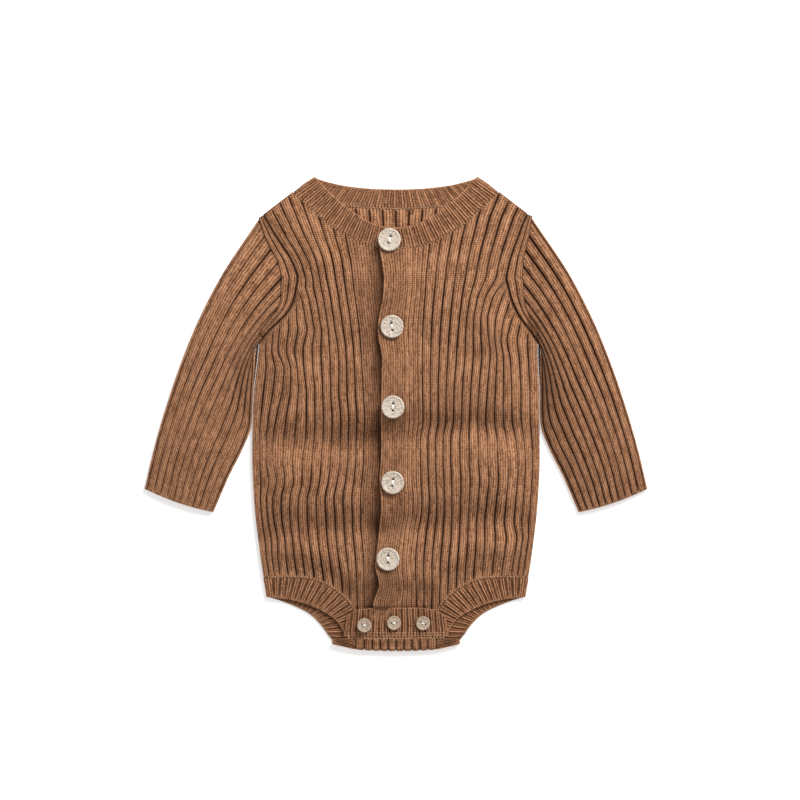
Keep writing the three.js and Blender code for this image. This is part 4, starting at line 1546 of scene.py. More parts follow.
@dataclass
class Sleeve:
    """A flattened tube: ribs on top, a fold at each edge and the layer below."""

    name: str
    side: int
    outer_edge: Points = (
        (194.1, 125.8), (187.5, 154), (177.8, 188), (165.6, 224), (150.6, 260), (132.8, 294),
        (104.2, 336.8),
    )
    inner_edge: Points = (
        (144.2, 108.8), (132, 137), (121.5, 158), (115.2, 174), (114, 186), (113.6, 200), (113, 220),
        (113.3, 243.4),
    )
    ribs: int = 10
    puff: float = 4.6
    open: float = 0.68  # how deep the grooves lie on the whole
    dull: float = 0.0  # how much darker the top layer is painted on the whole
    cuff_bow: float = 1.9
    rows: int = 92
    length: float = 218  # along the middle, on which the stitches are counted
    strip_width: Table = table(
        "share width",
        [(0, 4.4), (0.12, 7.6), (0.3, 10), (0.5, 13), (0.62, 11), (0.8, 7), (1, 4)],
    )
    creases: Table = table(
        "place t slope depth spread",
        [(0, 0.34, 0.1, 0.28, 0.035), (1, 0.62, -0.12, 0.3, 0.04)],
    )
    cut: Cut = Cut(0.135, 0.232, 0.0268)

    def end_at(self, armhole: Line, share: Array, off: Array | float) -> Array:
        """Points beside the armhole, moved towards the sleeve.

        Args:
            armhole: The armhole.
            share: Shares along it.
            off: Distances from it.

        Returns:
            Points.
        """
        along = armhole.along(share)
        normal = np.stack([-along[..., 1], along[..., 0]], axis=-1)
        return armhole.at(share) + normal * np.asarray(off)[..., None]

    def plan_points(self, plan: BodyPlan, s: Array, t: Array) -> Array:
        """Lay the flattened sleeve out.

        Args:
            plan: The body's plan.
            s: Shares from the outer to the inner edge.
            t: Shares from the cuff to the armhole.

        Returns:
            Points, rows by columns, as on the wearer's left.
        """
        outer, inner = Line(self.outer_edge), Line(self.inner_edge)

        def inside(share: Array) -> Array:
            """Find points of the inner fold, which leans with the body's side.

            Args:
                share: Shares along it.

            Returns:
                Points.
            """
            points = inner.at(share)
            points[..., 0] += self.side * plan.lean_at(np.array(SIDE_Q), points[..., 1])
            return points

        across = s[None, :, None]
        straight = mix(outer.at(t)[:, None], inside(t)[:, None], across)
        chord = mix(outer.at(1.0), inside(np.array([1.0]))[0], s[:, None])
        bow = self.end_at(plan.armhole(self.side), s, np.full_like(s, SEAM_PLAN)) - chord
        share = smooth(0, 0.08, s) * smooth(0, 0.05, 1 - s)
        cuff = 4 * s * (1 - s) * smooth(0.16, 0, t)[:, None]
        straight = straight - cuff[..., None] * [0.4, self.cuff_bow]
        return straight + (share * t[:, None] ** (3.2 + 14 * s**4))[..., None] * bow[None]

    def crease_share(self, s: Array, t: Array) -> Array:
        """The share of the loft that the elbow's creases leave.

        Args:
            s: Shares from the outer to the inner edge.
            t: Shares from the cuff to the armhole.

        Returns:
            Shares from 0 to 1.
        """
        share = np.ones(np.broadcast(s, t).shape)
        columns = self.creases.columns
        for place, slope, depth, spread in zip(
            columns["t"], columns["slope"], columns["depth"], columns["spread"], strict=True
        ):
            off = t - place - slope * (s - 0.5)
            share = share * (1 - depth * smooth(0.1, 0.9, s) * np.exp(-((off / spread) ** 2)))
        return share

    def shell(self, plan: BodyPlan) -> Shell:
        """Knit the tube.

        Args:
            plan: The body's plan.

        Returns:
            Its skin.
        """
        rib: Rib = Knit.WIDE.value
        fold = np.linspace(0, 0.5, 11)[:-1]
        top = np.array([k + phase for k in range(self.ribs) for phase in rib.phases])
        bottom = np.array([k + phase for k in range(self.ribs) for phase in PLAIN_PHASES])
        count = np.concatenate([top, self.ribs + fold, self.ribs + 0.5 + bottom, 2 * self.ribs + 0.5 + fold])
        t = rows_of(self.rows, self.length)
        on_top = count < self.ribs
        on_inner = (count >= self.ribs) & (count < self.ribs + 0.5)
        below = (count >= self.ribs + 0.5) & (count < 2 * self.ribs + 0.5)
        back_again = 1 - (count - self.ribs - 0.5) / self.ribs
        s = np.select([on_top, on_inner, below], [count / self.ribs, 1.0, back_again], 0.0)
        base = self.plan_points(plan, s, t)
        rise = t[:, None]
        border = np.minimum(rise, 1 - rise) * self.length * np.ones_like(base[..., 0])
        whole = rounded(border, 1.2)
        hem = smooth(0.6, 2.4, rise * self.length) * smooth(0, 3, (1 - rise) * self.length)
        waves = Waves(41 + self.side, 40, 110)(base[..., 0], base[..., 1])
        each = Waves(51 + self.side, 1.2, 3.2)(count, rise * 2.2)
        high = 0.22 * smooth(0.62, 0.95, rise) * smooth(0.9, 0.3, s)
        pit = smooth(0.45, 0.85, s) * smooth(0.4, 0.62, rise) * on_top
        uneven = np.clip(self.open + 0.15 * waves + 0.24 * each + high + 0.3 * pit, 0.1, 1)
        depth = hem * uneven
        drop = rib.drop(count) * depth
        lift = self.puff * (1 - np.abs(2 * s - 1) ** 2.6) ** 0.9
        lift = lift * smooth(1, 0.7, rise) * smooth(-0.12, 0.3, rise)
        lift = np.where(on_top, lift, 0) * self.crease_share(s, rise)
        turn = np.where(on_inner, (count - self.ribs) * 2, (2 * self.ribs + 1 - count) * 2) * math.pi
        angle = np.select([on_top, below], [0.0, math.pi], turn)
        outer_line, inner_line = Line(self.outer_edge), Line(self.inner_edge)
        outward = outer_line.along(t)[:, ::-1] * [1, -1]
        inward = inner_line.along(t)[:, ::-1] * [-1, 1]
        down = smooth(0.92, 1, t)[:, None]
        inward = mix(inward, np.array([0.0, -1.0]), down)
        inward = inward / np.linalg.norm(inward, axis=1, keepdims=True)
        way = np.where(on_inner[None, :, None], inward[:, None], outward[:, None])
        faces = []
        for offset in (whole * (WALL / 2 - drop), -whole * WALL / 2):
            reach = EDGE_TURN + offset
            out = (reach * np.sin(angle))[..., None] * way
            under = BACK_Z - np.minimum(offset, WALL / 2)
            z = np.where(below[None, :], under, BACK_Z + EDGE_TURN + reach * np.cos(angle))
            xy = base + np.where((on_top | below)[None, :, None], 0, out)
            faces.append(stack(self.side * xy[..., 0], xy[..., 1], z + lift))
        # painted shade: darker in the grooves and beside the armpit; dull darkens the whole top layer
        shade = (1 - (1 - rib.shade(count)) * depth) * (1 - 0.22 * pit) * (1 - self.dull * on_top)
        knit = stack(count * rib.wales, rise * self.length / COURSE, shade)
        last = np.array([(2 * self.ribs + 1) * rib.wales, 0, 0])
        closing = knit[:, :1] + last
        return Shell(faces[0], faces[1], np.concatenate([knit, closing], 1), wraps=True)

    def strip(self, plan: BodyPlan, tube: Shell) -> Shell:
        """Knit the edge beside the armhole, whose ribs run along the seam.

        Args:
            plan: The body's plan.
            tube: The sleeve that it lies on.

        Returns:
            Its skin.
        """
        rib: Rib = Knit.EDGE.value
        armhole = plan.armhole(self.side)
        along = np.concatenate([[0.004], np.linspace(0.012, 0.955, 84), [0.962]])
        count = np.array([k + phase for k in range(STRIP_RIBS) for phase in rib.phases] + [STRIP_RIBS])
        width = self.strip_width("width", along)
        first = SEAM_PLAN
        off = first + (width[:, None] - first) * (count / STRIP_RIBS)[None, :]
        points = self.end_at(armhole, np.broadcast_to(along[:, None], off.shape), off)
        cells = (tube.outer.shape[0] - 1) * tube.outer.shape[1]
        tree = BVHTree.FromPolygons(tube.outer.reshape(-1, 3).tolist(), tube.faces()[0][:cells].tolist())
        height = np.full(off.shape, FRONT_Z + WALL / 2)
        for j, i in np.ndindex(off.shape):
            x, y = self.end_at(armhole, np.array([along[j]]), np.array([max(off[j, i], 1.6)]))[0]
            hit = tree.ray_cast((self.side * x, y, 60.0), (0.0, 0.0, -1.0))[0]
            if hit is not None:
                height[j, i] = hit.z
        for _ in range(2):
            height[1:-1] = np.maximum(np.maximum(height[:-2], height[2:]), height[1:-1])
        for _ in range(3):
            height[1:-1] = (height[:-2] + 2 * height[1:-1] + height[2:]) / 4
        ends = np.minimum(along - along[0], along[-1] - along)[:, None] * armhole.length
        border = np.minimum(ends, np.minimum(off - first, width[:, None] - off))
        whole = rounded(border, 0.9)
        groove = rib.drop(count) * smooth(0.1, 0.8, border)
        outer = height - 0.3 + 1.2 * whole - 0.6 * groove
        # painted shade: darker in the grooves and along the strip's edges, in the seam
        shade = rib.shade(count) * (1 - 0.7 * np.exp(-((border / 0.9) ** 2)))
        knit = stack(count * rib.wales, along[:, None] * armhole.length / COURSE, shade)
        return Shell(
            stack(self.side * points[..., 0], points[..., 1], outer),
            stack(self.side * points[..., 0], points[..., 1], outer - 0.3 - whole),
            knit,
        )


# ---------------------------------------------------------------- sewing and buttons


@dataclass
class Chain:
    """A linked seam, whose loops of yarn stand up in a row."""

    name: str
    on: str  # the node that it is sewn on
    path: Array  # points of the seam, rows x 3
    pitch: float = 2.5
    length: float = 2.3
    width: float = 1.25
    tilt: float = 24.0
    finish: str = "seam_yarn"

    def loops(self) -> Array:
        """Lay the loops.

        Returns:
            For each loop the place of its middle and its direction in plan, in rows of x, y, z, angle.
        """
        steps = np.linalg.norm(np.diff(self.path[:, :2], axis=0), axis=1)
        along = np.concatenate([[0], np.cumsum(steps)])
        count = max(2, int(along[-1] / self.pitch))
        where = (np.arange(count) + 0.5) * along[-1] / count
        x, y, z = (np.interp(where, along, self.path[:, k]) for k in range(3))
        way = np.arctan2(np.gradient(y), np.gradient(x))
        sign = np.where(np.arange(count) % 2, 1, -1)
        return np.stack([x, y, z, way + np.radians(self.tilt) * sign], axis=1)

    def mesh(self, origin: Array) -> bpy.types.Mesh:
        """Build the loops.

        Args:
            origin: The plan's origin in the frame.

        Returns:
            One mesh of all the loops.
        """
        around, up = 10, 6
        turn = np.linspace(0, 2 * math.pi, around, endpoint=False)
        rise = np.linspace(-math.pi / 2, math.pi / 2, up + 1)
        ball = stack(
            self.length / 2 * np.cos(rise)[:, None] * np.cos(turn),
            self.width / 2 * np.cos(rise)[:, None] * np.sin(turn),
            0.55 * np.sin(rise)[:, None],
        ).reshape(-1, 3)
        j, i = np.divmod(np.arange(up * around), around)
        near = (i + 1) % around
        low, high = j * around, (j + 1) * around
        quads = np.stack([low + i, low + near, high + near, high + i], 1)
        points: list[Array] = []
        faces: list[Array] = []
        for k, (x, y, z, angle) in enumerate(self.loops()):
            c, s = math.cos(angle), math.sin(angle)
            points.append(ball @ np.array([[c, s, 0], [-s, c, 0], [0, 0, 1]]) + [x, y, z])
            faces.append(quads + k * len(ball))
        mesh = bpy.data.meshes.new(self.name)
        mesh.from_pydata((np.concatenate(points) * MM + origin).tolist(), [], np.concatenate(faces).tolist())
        mesh.shade_smooth()
        mesh.update()
        return mesh


@dataclass(frozen=True)
class ButtonKind:
    """The sizes of a two-hole button."""

    radius: float
    thick: float
    rim: float
    dish: float
    hole: float
    gap: float
    slot: str


class Size(Enum):
    """The garment's two sizes of button."""

    LARGE = ButtonKind(9, 2.8, 1.5, 0.5, 0.95, 5, "large_button")
    SMALL = ButtonKind(5.5, 2.3, 1.0, 0.4, 0.65, 3.6, "small_button")


@dataclass
class Button:
    """A turned button and the thread that holds it."""

    name: str
    size: Size
    x: float
    y: float
    turn: float

    def seat(self, surface: Callable[[Array, Array], Array]) -> float:
        """The height of the highest cloth under the button.

        Args:
            surface: The middle of that cloth.

        Returns:
            The height of its face.
        """
        angle = np.linspace(0, 2 * math.pi, 16, endpoint=False)
        radius = self.size.value.radius * np.array([[0.5], [1.0]])
        x, y = self.x + radius * np.cos(angle), self.y + radius * np.sin(angle)
        return float(surface(x, y).max()) + WALL / 2

    def body(self) -> bpy.types.Mesh:
        """Turn the button about its own middle, in millimetres.

        Returns:
            Its mesh, with both holes cut.
        """
        kind = self.size.value
        profile = [
            (0, 0.1),
            (kind.radius * 0.8, 0),
            (kind.radius * 0.93, 0.18 * kind.thick),
            (kind.radius * 0.985, 0.4 * kind.thick),
            (kind.radius, 0.6 * kind.thick),
            (kind.radius - 0.14 * kind.rim, 0.84 * kind.thick),
            (kind.radius - 0.4 * kind.rim, 0.97 * kind.thick),
            (kind.radius - 0.75 * kind.rim, kind.thick),
            (kind.radius - 1.1 * kind.rim, kind.thick - 0.35 * kind.dish),
            (kind.radius - 1.5 * kind.rim, kind.thick - 0.95 * kind.dish),
            (kind.radius - 2.0 * kind.rim, kind.thick - kind.dish),
            (kind.radius * 0.3, kind.thick - kind.dish),
            (0, kind.thick - kind.dish),
        ]
        turned = lathe(profile, 72)
        for place in (-0.5, 0.5):
            drill = lathe([(0, -1), (kind.hole, -1), (kind.hole, 2 * kind.thick), (0, 2 * kind.thick)], 28)
            drill.transform(translation(place * kind.gap, 0, 0))
            turned = subtract(turned, drill)
        return turned

    def thread(self) -> bpy.types.Mesh:
        """Lay the strands of thread that pass from hole to hole.

        Returns:
            Their mesh, about the button's middle, in millimetres.
        """
        kind = self.size.value
        points: list[Array] = []
        faces: list[Array] = []
        across = np.linspace(-0.66, 0.66, 4) * kind.hole
        inner, top = kind.gap / 2 - kind.hole, kind.thick - kind.dish
        around = np.linspace(0, 2 * math.pi, 10, endpoint=False)
        for k, y in enumerate(across):
            rise = top + 0.3 + 0.07 * math.cos(2.3 * k)
            path = np.array(
                [
                    (-inner - 0.28, y * 0.5, 0.4),
                    (-inner - 0.24, y * 0.6, top - 0.3),
                    (-inner + 0.12, y * 0.85, rise - 0.14),
                    (-0.35 * inner, y * 1.2, rise + 0.14),
                    (0.35 * inner, y * 1.2, rise + 0.14),
                    (inner - 0.12, y * 0.85, rise - 0.14),
                    (inner + 0.24, y * 0.6, top - 0.3),
                    (inner + 0.28, y * 0.5, 0.4),
                ]
            )
            way = np.gradient(path, axis=0)
            way /= np.linalg.norm(way, axis=1, keepdims=True)
            aside = np.array([0.0, 1.0, 0.0])
            lift = np.cross(way, aside)
            lift /= np.linalg.norm(lift, axis=1, keepdims=True)
            radius = 0.25 * kind.hole
            ring = path[:, None] + radius * (
                np.cos(around)[None, :, None] * aside + np.sin(around)[None, :, None] * lift[:, None]
            )
            start = sum(len(part) for part in points)
            points.append(ring.reshape(-1, 3))
            j, i = np.divmod(np.arange((len(path) - 1) * len(around)), len(around))
            near = (i + 1) % len(around)
            n = len(around)
            faces.append(np.stack([j * n + i, j * n + near, (j + 1) * n + near, (j + 1) * n + i], 1) + start)
        mesh = bpy.data.meshes.new(self.name + "_thread")
        mesh.from_pydata(np.concatenate(points).tolist(), [], np.concatenate(faces).tolist())
        return mesh

    def build(self, shop: Workshop, surface: Callable[[Array, Array], Array]) -> None:
        """Sew the button on.

        Args:
            shop: What the garment is built with.
            surface: The middle of the cloth under it.
        """
        kind = self.size.value
        spot = (np.array([self.x, self.y, self.seat(surface) + 0.25]) * MM + shop.origin).tolist()
        seat = translation(*spot) @ Matrix.Rotation(math.radians(self.turn), 4, "Z") @ Matrix.Scale(MM, 4)
        for name, mesh, finish, nodes, slot in (
            (self.name + "_disc", self.body(), kind.slot, [self.name], kind.slot),
            (self.name + "_thread", self.thread(), "thread", [], None),
        ):
            mesh.transform(seat)
            mesh.shade_smooth()
            shop.place(name, mesh, finish, nodes, slot)


def translation(x: float, y: float, z: float) -> Matrix:
    """Make a translation.

    Args:
        x: Shift along x.
        y: Shift along y.
        z: Shift along z.

    Returns:
        Its matrix.
    """
    return Matrix.Translation((x, y, z))


def lathe(profile: Points, sides: int) -> bpy.types.Mesh:
    """Turn a profile about z into a closed mesh.

    Args:
        profile: Radius and height of each corner; it starts and ends on the axis.
        sides: Facets round the axis.

    Returns:
        The mesh.
    """
    turn = np.linspace(0, 2 * math.pi, sides, endpoint=False)
    rings = [stack(r * np.cos(turn), r * np.sin(turn), z) for r, z in profile[1:-1]]
    points = np.concatenate([*rings, [[0, 0, profile[0][1]], [0, 0, profile[-1][1]]]])
    count = len(rings)
    faces = [
        (j * sides + i, j * sides + (i + 1) % sides, (j + 1) * sides + (i + 1) % sides, (j + 1) * sides + i)
        for j in range(count - 1)
        for i in range(sides)
    ]
    bottom, top = count * sides, count * sides + 1
    caps = [((i + 1) % sides, i, bottom) for i in range(sides)]
    last = (count - 1) * sides
    caps += [(last + i, last + (i + 1) % sides, top) for i in range(sides)]
    mesh = bpy.data.meshes.new("turned")
    mesh.from_pydata(points.tolist(), [], [*faces, *caps])
    return mesh


def subtract(mesh: bpy.types.Mesh, tool: bpy.types.Mesh) -> bpy.types.Mesh:
    """Cut one mesh out of another.

    Args:
        mesh: The mesh that is cut.
        tool: What is cut away.

    Returns:
        The cut mesh.
    """
    scene = bpy.context.scene
    body, cutter = bpy.data.objects.new("cut", mesh), bpy.data.objects.new("cutter", tool)
    for item in (body, cutter):
        scene.collection.objects.link(item)
    change = body.modifiers.new("cut", "BOOLEAN")
    change.operation, change.solver, change.object = "DIFFERENCE", "EXACT", cutter
    done = bpy.data.meshes.new_from_object(body.evaluated_get(bpy.context.evaluated_depsgraph_get()))
    for item in (body, cutter):
        bpy.data.objects.remove(item)
    return done


# ---------------------------------------------------------------- finishes


Colour = tuple[float, float, float]


class Nodes:
    """A material's node tree, built by short calls."""

    def __init__(self, name: str) -> None:
        """Start a material.

        Args:
            name: The material's name.
        """
        self.material = bpy.data.materials.new(name)
        self.material.use_nodes = True
        self.tree = self.material.node_tree
        self.tree.nodes.clear()
        self.shader = self.tree.nodes.new("ShaderNodeBsdfPrincipled")
        output = self.tree.nodes.new("ShaderNodeOutputMaterial")
        self.tree.links.new(self.shader.outputs["BSDF"], output.inputs["Surface"])

    def wire(self, socket: bpy.types.NodeSocket, value: object) -> None:
        """Feed a socket.

        Args:
            socket: The input.
            value: Another node's output, or a constant.
        """
        if isinstance(value, bpy.types.NodeSocket):
            self.tree.links.new(value, socket)
        elif isinstance(value, tuple) and len(value) == 3 and socket.type == "RGBA":
            socket.default_value = (*value, 1)
        else:
            socket.default_value = value

    def math(self, operation: str, *values: object) -> bpy.types.NodeSocket:
        """Add a maths node.

        Args:
            operation: Its operation.
            values: Its inputs.

        Returns:
            Its output.
        """
        node = self.tree.nodes.new("ShaderNodeMath")
        node.operation = operation
        for socket, value in zip(node.inputs, values, strict=False):
            self.wire(socket, value)
        return node.outputs[0]

    def mix(self, share: object, a: object, b: object, blend: str = "MIX") -> bpy.types.NodeSocket:
        """Add a colour mix.

        Args:
            share: How much of the second colour.
            a: First colour.
            b: Second colour.
            blend: How they are blended.

        Returns:
            Its output.
        """
        node = self.tree.nodes.new("ShaderNodeMix")
        node.data_type, node.blend_type = "RGBA", blend
        for name, value in (("Factor_Float", share), ("A_Color", a), ("B_Color", b)):
            self.wire(next(socket for socket in node.inputs if socket.identifier == name), value)
        return next(socket for socket in node.outputs if socket.identifier == "Result_Color")

    def noise(
        self, vector: object, scale: float, detail: float = 2, roughness: float = 0.5
    ) -> bpy.types.NodeSocket:
        """Add a noise texture.

        Args:
            vector: Its coordinates.
            scale: Its scale.
            detail: Its octaves.
            roughness: How much the finer octaves count.

        Returns:
            Its value.
        """
        node = self.tree.nodes.new("ShaderNodeTexNoise")
        self.wire(node.inputs["Vector"], vector)
        self.wire(node.inputs["Scale"], scale)
        self.wire(node.inputs["Detail"], detail)
        self.wire(node.inputs["Roughness"], roughness)
        return node.outputs["Fac"]

    def cell(self, across: object, along: object) -> bpy.types.NodeSocket:
        """Add a random value for each cell of a grid.

        Args:
            across: The cell's column.
            along: The cell's row.

        Returns:
            Its value.
        """
        join = self.tree.nodes.new("ShaderNodeCombineXYZ")
        self.wire(join.inputs[0], across)
        self.wire(join.inputs[1], along)
        node = self.tree.nodes.new("ShaderNodeTexWhiteNoise")
        node.noise_dimensions = "2D"
        self.wire(node.inputs["Vector"], join.outputs[0])
        return node.outputs["Value"]

    def ramp(self, value: object, low: float, high: float) -> bpy.types.NodeSocket:
        """Ease a value to the range from 0 to 1.

        Args:
            value: The value.
            low: What becomes 0.
            high: What becomes 1.

        Returns:
            The eased value.
        """
        node = self.tree.nodes.new("ShaderNodeMapRange")
        node.interpolation_type = "SMOOTHSTEP"
        for name, item in (("Value", value), ("From Min", low), ("From Max", high)):
            self.wire(node.inputs[name], item)
        return node.outputs["Result"]

    def bump(self, height: object, distance: float, strength: float) -> None:
        """Add a bump to the shader.

        Args:
            height: The height, from 0 to 1.
            distance: What a height of 1 stands for, in metres.
            strength: The bump's strength.
        """
        node = self.tree.nodes.new("ShaderNodeBump")
        self.wire(node.inputs["Height"], height)
        self.wire(node.inputs["Distance"], distance)
        self.wire(node.inputs["Strength"], strength)
        self.tree.links.new(node.outputs["Normal"], self.shader.inputs["Normal"])

    def coordinates(self) -> bpy.types.NodeSocket:
        """Give the object's own coordinates."""
        return self.tree.nodes.new("ShaderNodeTexCoord").outputs["Object"]


@dataclass(frozen=True)
class KnitFinish:
    """Matt cotton knit: rows of stitches in soft, slightly uneven yarn, with shade painted into its grooves,
    seams and folds.
    """

    name: str
    light: Colour = (0.6, 0.3, 0.16)
    dark: Colour = (0.1, 0.034, 0.011)
    # painted shade: the colour that grooves, seams and creases take where shade falls
    groove: Colour = (0.032, 0.008, 0.002)

    def build(self) -> bpy.types.Material:
        """Make the material.

        Returns:
            The material.
        """
        nodes = Nodes(self.name)
        attribute = nodes.tree.nodes.new("ShaderNodeAttribute")
        attribute.attribute_name = "knit"
        split = nodes.tree.nodes.new("ShaderNodeSeparateXYZ")
        nodes.wire(split.inputs[0], attribute.outputs["Vector"])
        wale, course, openness_and_painted_shade = split.outputs
        place = nodes.coordinates()
        wander = nodes.math("MULTIPLY_ADD", nodes.noise(place, 260, 1), 0.7, -0.35)
        # Each wale is a column of V's: two legs that lean together down its middle.
        leg = nodes.math("ABSOLUTE", nodes.math("SUBTRACT", nodes.math("FRACT", wale), 0.5))
        leg = nodes.math("MULTIPLY", leg, 2.0)
        lean = nodes.math("MULTIPLY_ADD", leg, 0.5, nodes.math("ADD", course, wander))
        across = nodes.math("ABSOLUTE", nodes.math("SUBTRACT", nodes.math("FRACT", lean), 0.5))
        across = nodes.math("MULTIPLY", nodes.ramp(across, 0.2, 0.5), 0.6)
        between = nodes.ramp(leg, 0.45, 1.0)
        inside = nodes.math("MULTIPLY", nodes.ramp(leg, 0.35, 0.0), 0.4)
        gap = nodes.math("MAXIMUM", nodes.math("MAXIMUM", between, inside), across)
        column = nodes.math("FLOOR", nodes.math("MULTIPLY", wale, 2.0))
        stitch = nodes.cell(column, nodes.math("FLOOR", lean))
        slow = nodes.math("MULTIPLY_ADD", course, 0.22, nodes.math("MULTIPLY", stitch, 0.6))
        streak = nodes.cell(column, nodes.math("FLOOR", slow))
        yarn = nodes.noise(place, 1500, 2, 0.6)
        mottle = nodes.noise(place, 110, 3, 0.6)
        shade = nodes.math("MULTIPLY_ADD", yarn, -0.35, 0.175)
        shade = nodes.math("ADD", shade, nodes.math("MULTIPLY_ADD", mottle, -0.5, 0.25))
        shade = nodes.math("ADD", shade, nodes.math("MULTIPLY_ADD", stitch, 0.5, -0.25))
        shade = nodes.math("ADD", shade, nodes.math("MULTIPLY_ADD", streak, 0.45, -0.225))
        shade = nodes.math("ADD", shade, gap)
        colour = nodes.mix(nodes.ramp(shade, -0.3, 1.1), self.light, self.dark)
        # painted shade: a low third knit value pulls the colour towards the groove colour
        colour = nodes.mix(nodes.ramp(openness_and_painted_shade, 0.0, 1.0), self.groove, colour)
        nodes.wire(nodes.shader.inputs["Base Color"], colour)
        nodes.wire(nodes.shader.inputs["Roughness"], 0.92)
        nodes.wire(nodes.shader.inputs["Specular IOR Level"], 0.1)
        nodes.wire(nodes.shader.inputs["Sheen Weight"], 0.04)
        nodes.wire(nodes.shader.inputs["Sheen Roughness"], 0.55)
        nodes.wire(nodes.shader.inputs["Sheen Tint"], (0.9, 0.72, 0.55))
        height = nodes.math("SUBTRACT", nodes.math("MULTIPLY", yarn, 0.25), gap)
        nodes.bump(height, 0.0004, 0.8)
        return nodes.material


@dataclass(frozen=True)
class YarnFinish:
    """Loops of the same yarn, which catch the light."""

    name: str
    light: Colour = (0.58, 0.33, 0.19)
    dark: Colour = (0.17, 0.07, 0.03)

    def build(self) -> bpy.types.Material:
        """Make the material.

        Returns:
            The material.
        """
        nodes = Nodes(self.name)
        place = nodes.coordinates()
        strand = nodes.noise(place, 1300, 2, 0.6)
        patch = nodes.noise(place, 240, 2)
        lit = nodes.math("MULTIPLY_ADD", nodes.math("ADD", strand, patch), 0.9, -0.4)
        nodes.wire(nodes.shader.inputs["Base Color"], nodes.mix(nodes.ramp(lit, 0, 1), self.dark, self.light))
        nodes.wire(nodes.shader.inputs["Roughness"], 0.9)
        nodes.wire(nodes.shader.inputs["Specular IOR Level"], 0.18)
        nodes.bump(strand, 0.0003, 0.6)
        return nodes.material


@dataclass(frozen=True)
class ButtonFinish:
    """Pale, speckled, slightly worn button."""

    name: str
    light: Colour
    dark: Colour
    speck: Colour = (0.2, 0.14, 0.09)
    scale: float = 1.0

    def build(self) -> bpy.types.Material:
        """Make the material.

        Returns:
            The material.
        """
        nodes = Nodes(self.name)
        place = nodes.coordinates()
        cloud = nodes.noise(place, 800 * self.scale, 4, 0.65)
        fleck = nodes.noise(place, 1100 * self.scale, 2, 0.6)
        colour = nodes.mix(nodes.ramp(cloud, 0.34, 0.56), self.dark, self.light)
        colour = nodes.mix(nodes.math("MULTIPLY", nodes.ramp(fleck, 0.58, 0.64), 0.8), colour, self.speck)
        nodes.wire(nodes.shader.inputs["Base Color"], colour)
        nodes.wire(nodes.shader.inputs["Roughness"], nodes.math("MULTIPLY_ADD", cloud, 0.3, 0.42))
        nodes.wire(nodes.shader.inputs["Specular IOR Level"], 0.35)
        nodes.bump(nodes.math("ADD", cloud, nodes.math("MULTIPLY", fleck, 0.6)), 0.00025, 0.5)
        return nodes.material


@dataclass(frozen=True)
class ThreadFinish:
    """Twisted sewing thread."""

    name: str = "thread"
    light: Colour = (0.98, 0.96, 0.92)
    dark: Colour = (0.8, 0.75, 0.66)

    def build(self) -> bpy.types.Material:
        """Make the material.

        Returns:
            The material.
        """
        nodes = Nodes(self.name)
        twist = nodes.tree.nodes.new("ShaderNodeTexWave")
        twist.bands_direction = "DIAGONAL"
        nodes.wire(twist.inputs["Vector"], nodes.coordinates())
        nodes.wire(twist.inputs["Scale"], 900.0)
        nodes.wire(twist.inputs["Distortion"], 1.5)
        nodes.wire(nodes.shader.inputs["Base Color"], nodes.mix(twist.outputs["Fac"], self.dark, self.light))
        nodes.wire(nodes.shader.inputs["Roughness"], 0.75)
        nodes.bump(twist.outputs["Fac"], 0.0001, 0.6)
        return nodes.material


@dataclass(frozen=True)
class FloorFinish:
    """A pale, matt surface with a faint grain."""

    name: str = "surface"
    pale: Colour = (0.93, 0.93, 0.93)
    grey: Colour = (0.9, 0.9, 0.9)
    glow: float = 0.45  # the surface is lit from below, which keeps its shadows faint

    def build(self) -> bpy.types.Material:
        """Make the material.

        Returns:
            The material.
        """
        nodes = Nodes(self.name)
        grain = nodes.noise(nodes.coordinates(), 14, 3)
        nodes.wire(nodes.shader.inputs["Base Color"], nodes.mix(grain, self.grey, self.pale))
        nodes.wire(nodes.shader.inputs["Roughness"], 0.9)
        nodes.wire(nodes.shader.inputs["Specular IOR Level"], 0.1)
        nodes.wire(nodes.shader.inputs["Emission Color"], self.pale)
        nodes.wire(nodes.shader.inputs["Emission Strength"], self.glow)
        return nodes.material


# ---------------------------------------------------------------- studio


@dataclass
class Studio:
    """The surface, the light and the camera."""

    floor: float = 6.0
    view_x: float = 0.0031
    view_y: float = 0.0111
    view_width: float = 0.624
    view_height: float = 2.4
    key_power: float = 42.0
    key_size: float = 0.75
    key_spot: tuple[float, float, float] = (0.85, 1.25, 1.2)
    sky: float = 0.5

    def build(self) -> None:
        """Set the garment's surroundings up."""
        scene = bpy.context.scene
        scene.view_settings.view_transform = "Standard"
        mesh = bpy.data.meshes.new("surface")
        half = self.floor / 2
        corners = [(-half, -half), (half, -half), (half, half), (-half, half)]
        corners = [(x, y, -FLOOR_GAP) for x, y in corners]
        mesh.from_pydata(corners, [], [(0, 1, 2, 3)])
        mesh.materials.append(FloorFinish().build())
        floor = bpy.data.objects.new("surface", mesh)
        scene.collection.objects.link(floor)
        lamp = bpy.data.lights.new("key", "AREA")
        lamp.energy, lamp.size = self.key_power, self.key_size
        key = bpy.data.objects.new("key", lamp)
        key.location = self.key_spot
        key.rotation_euler = (-Vector(self.key_spot)).to_track_quat("-Z", "Y").to_euler()
        scene.collection.objects.link(key)
        world = bpy.data.worlds.new("sky")
        world.use_nodes = True
        sky = world.node_tree.nodes["Background"]
        sky.inputs["Color"].default_value = (1, 1, 1, 1)
        sky.inputs["Strength"].default_value = self.sky
        scene.world = world
        lens = bpy.data.cameras.new("view")
        lens.angle = 2 * math.atan(self.view_width / 2 / self.view_height)
        lens.clip_end = 20
        camera = bpy.data.objects.new("view", lens)
        camera.location = (self.view_x, self.view_y, self.view_height)
        scene.collection.objects.link(camera)
        scene.camera = camera


# ---------------------------------------------------------------- the garment


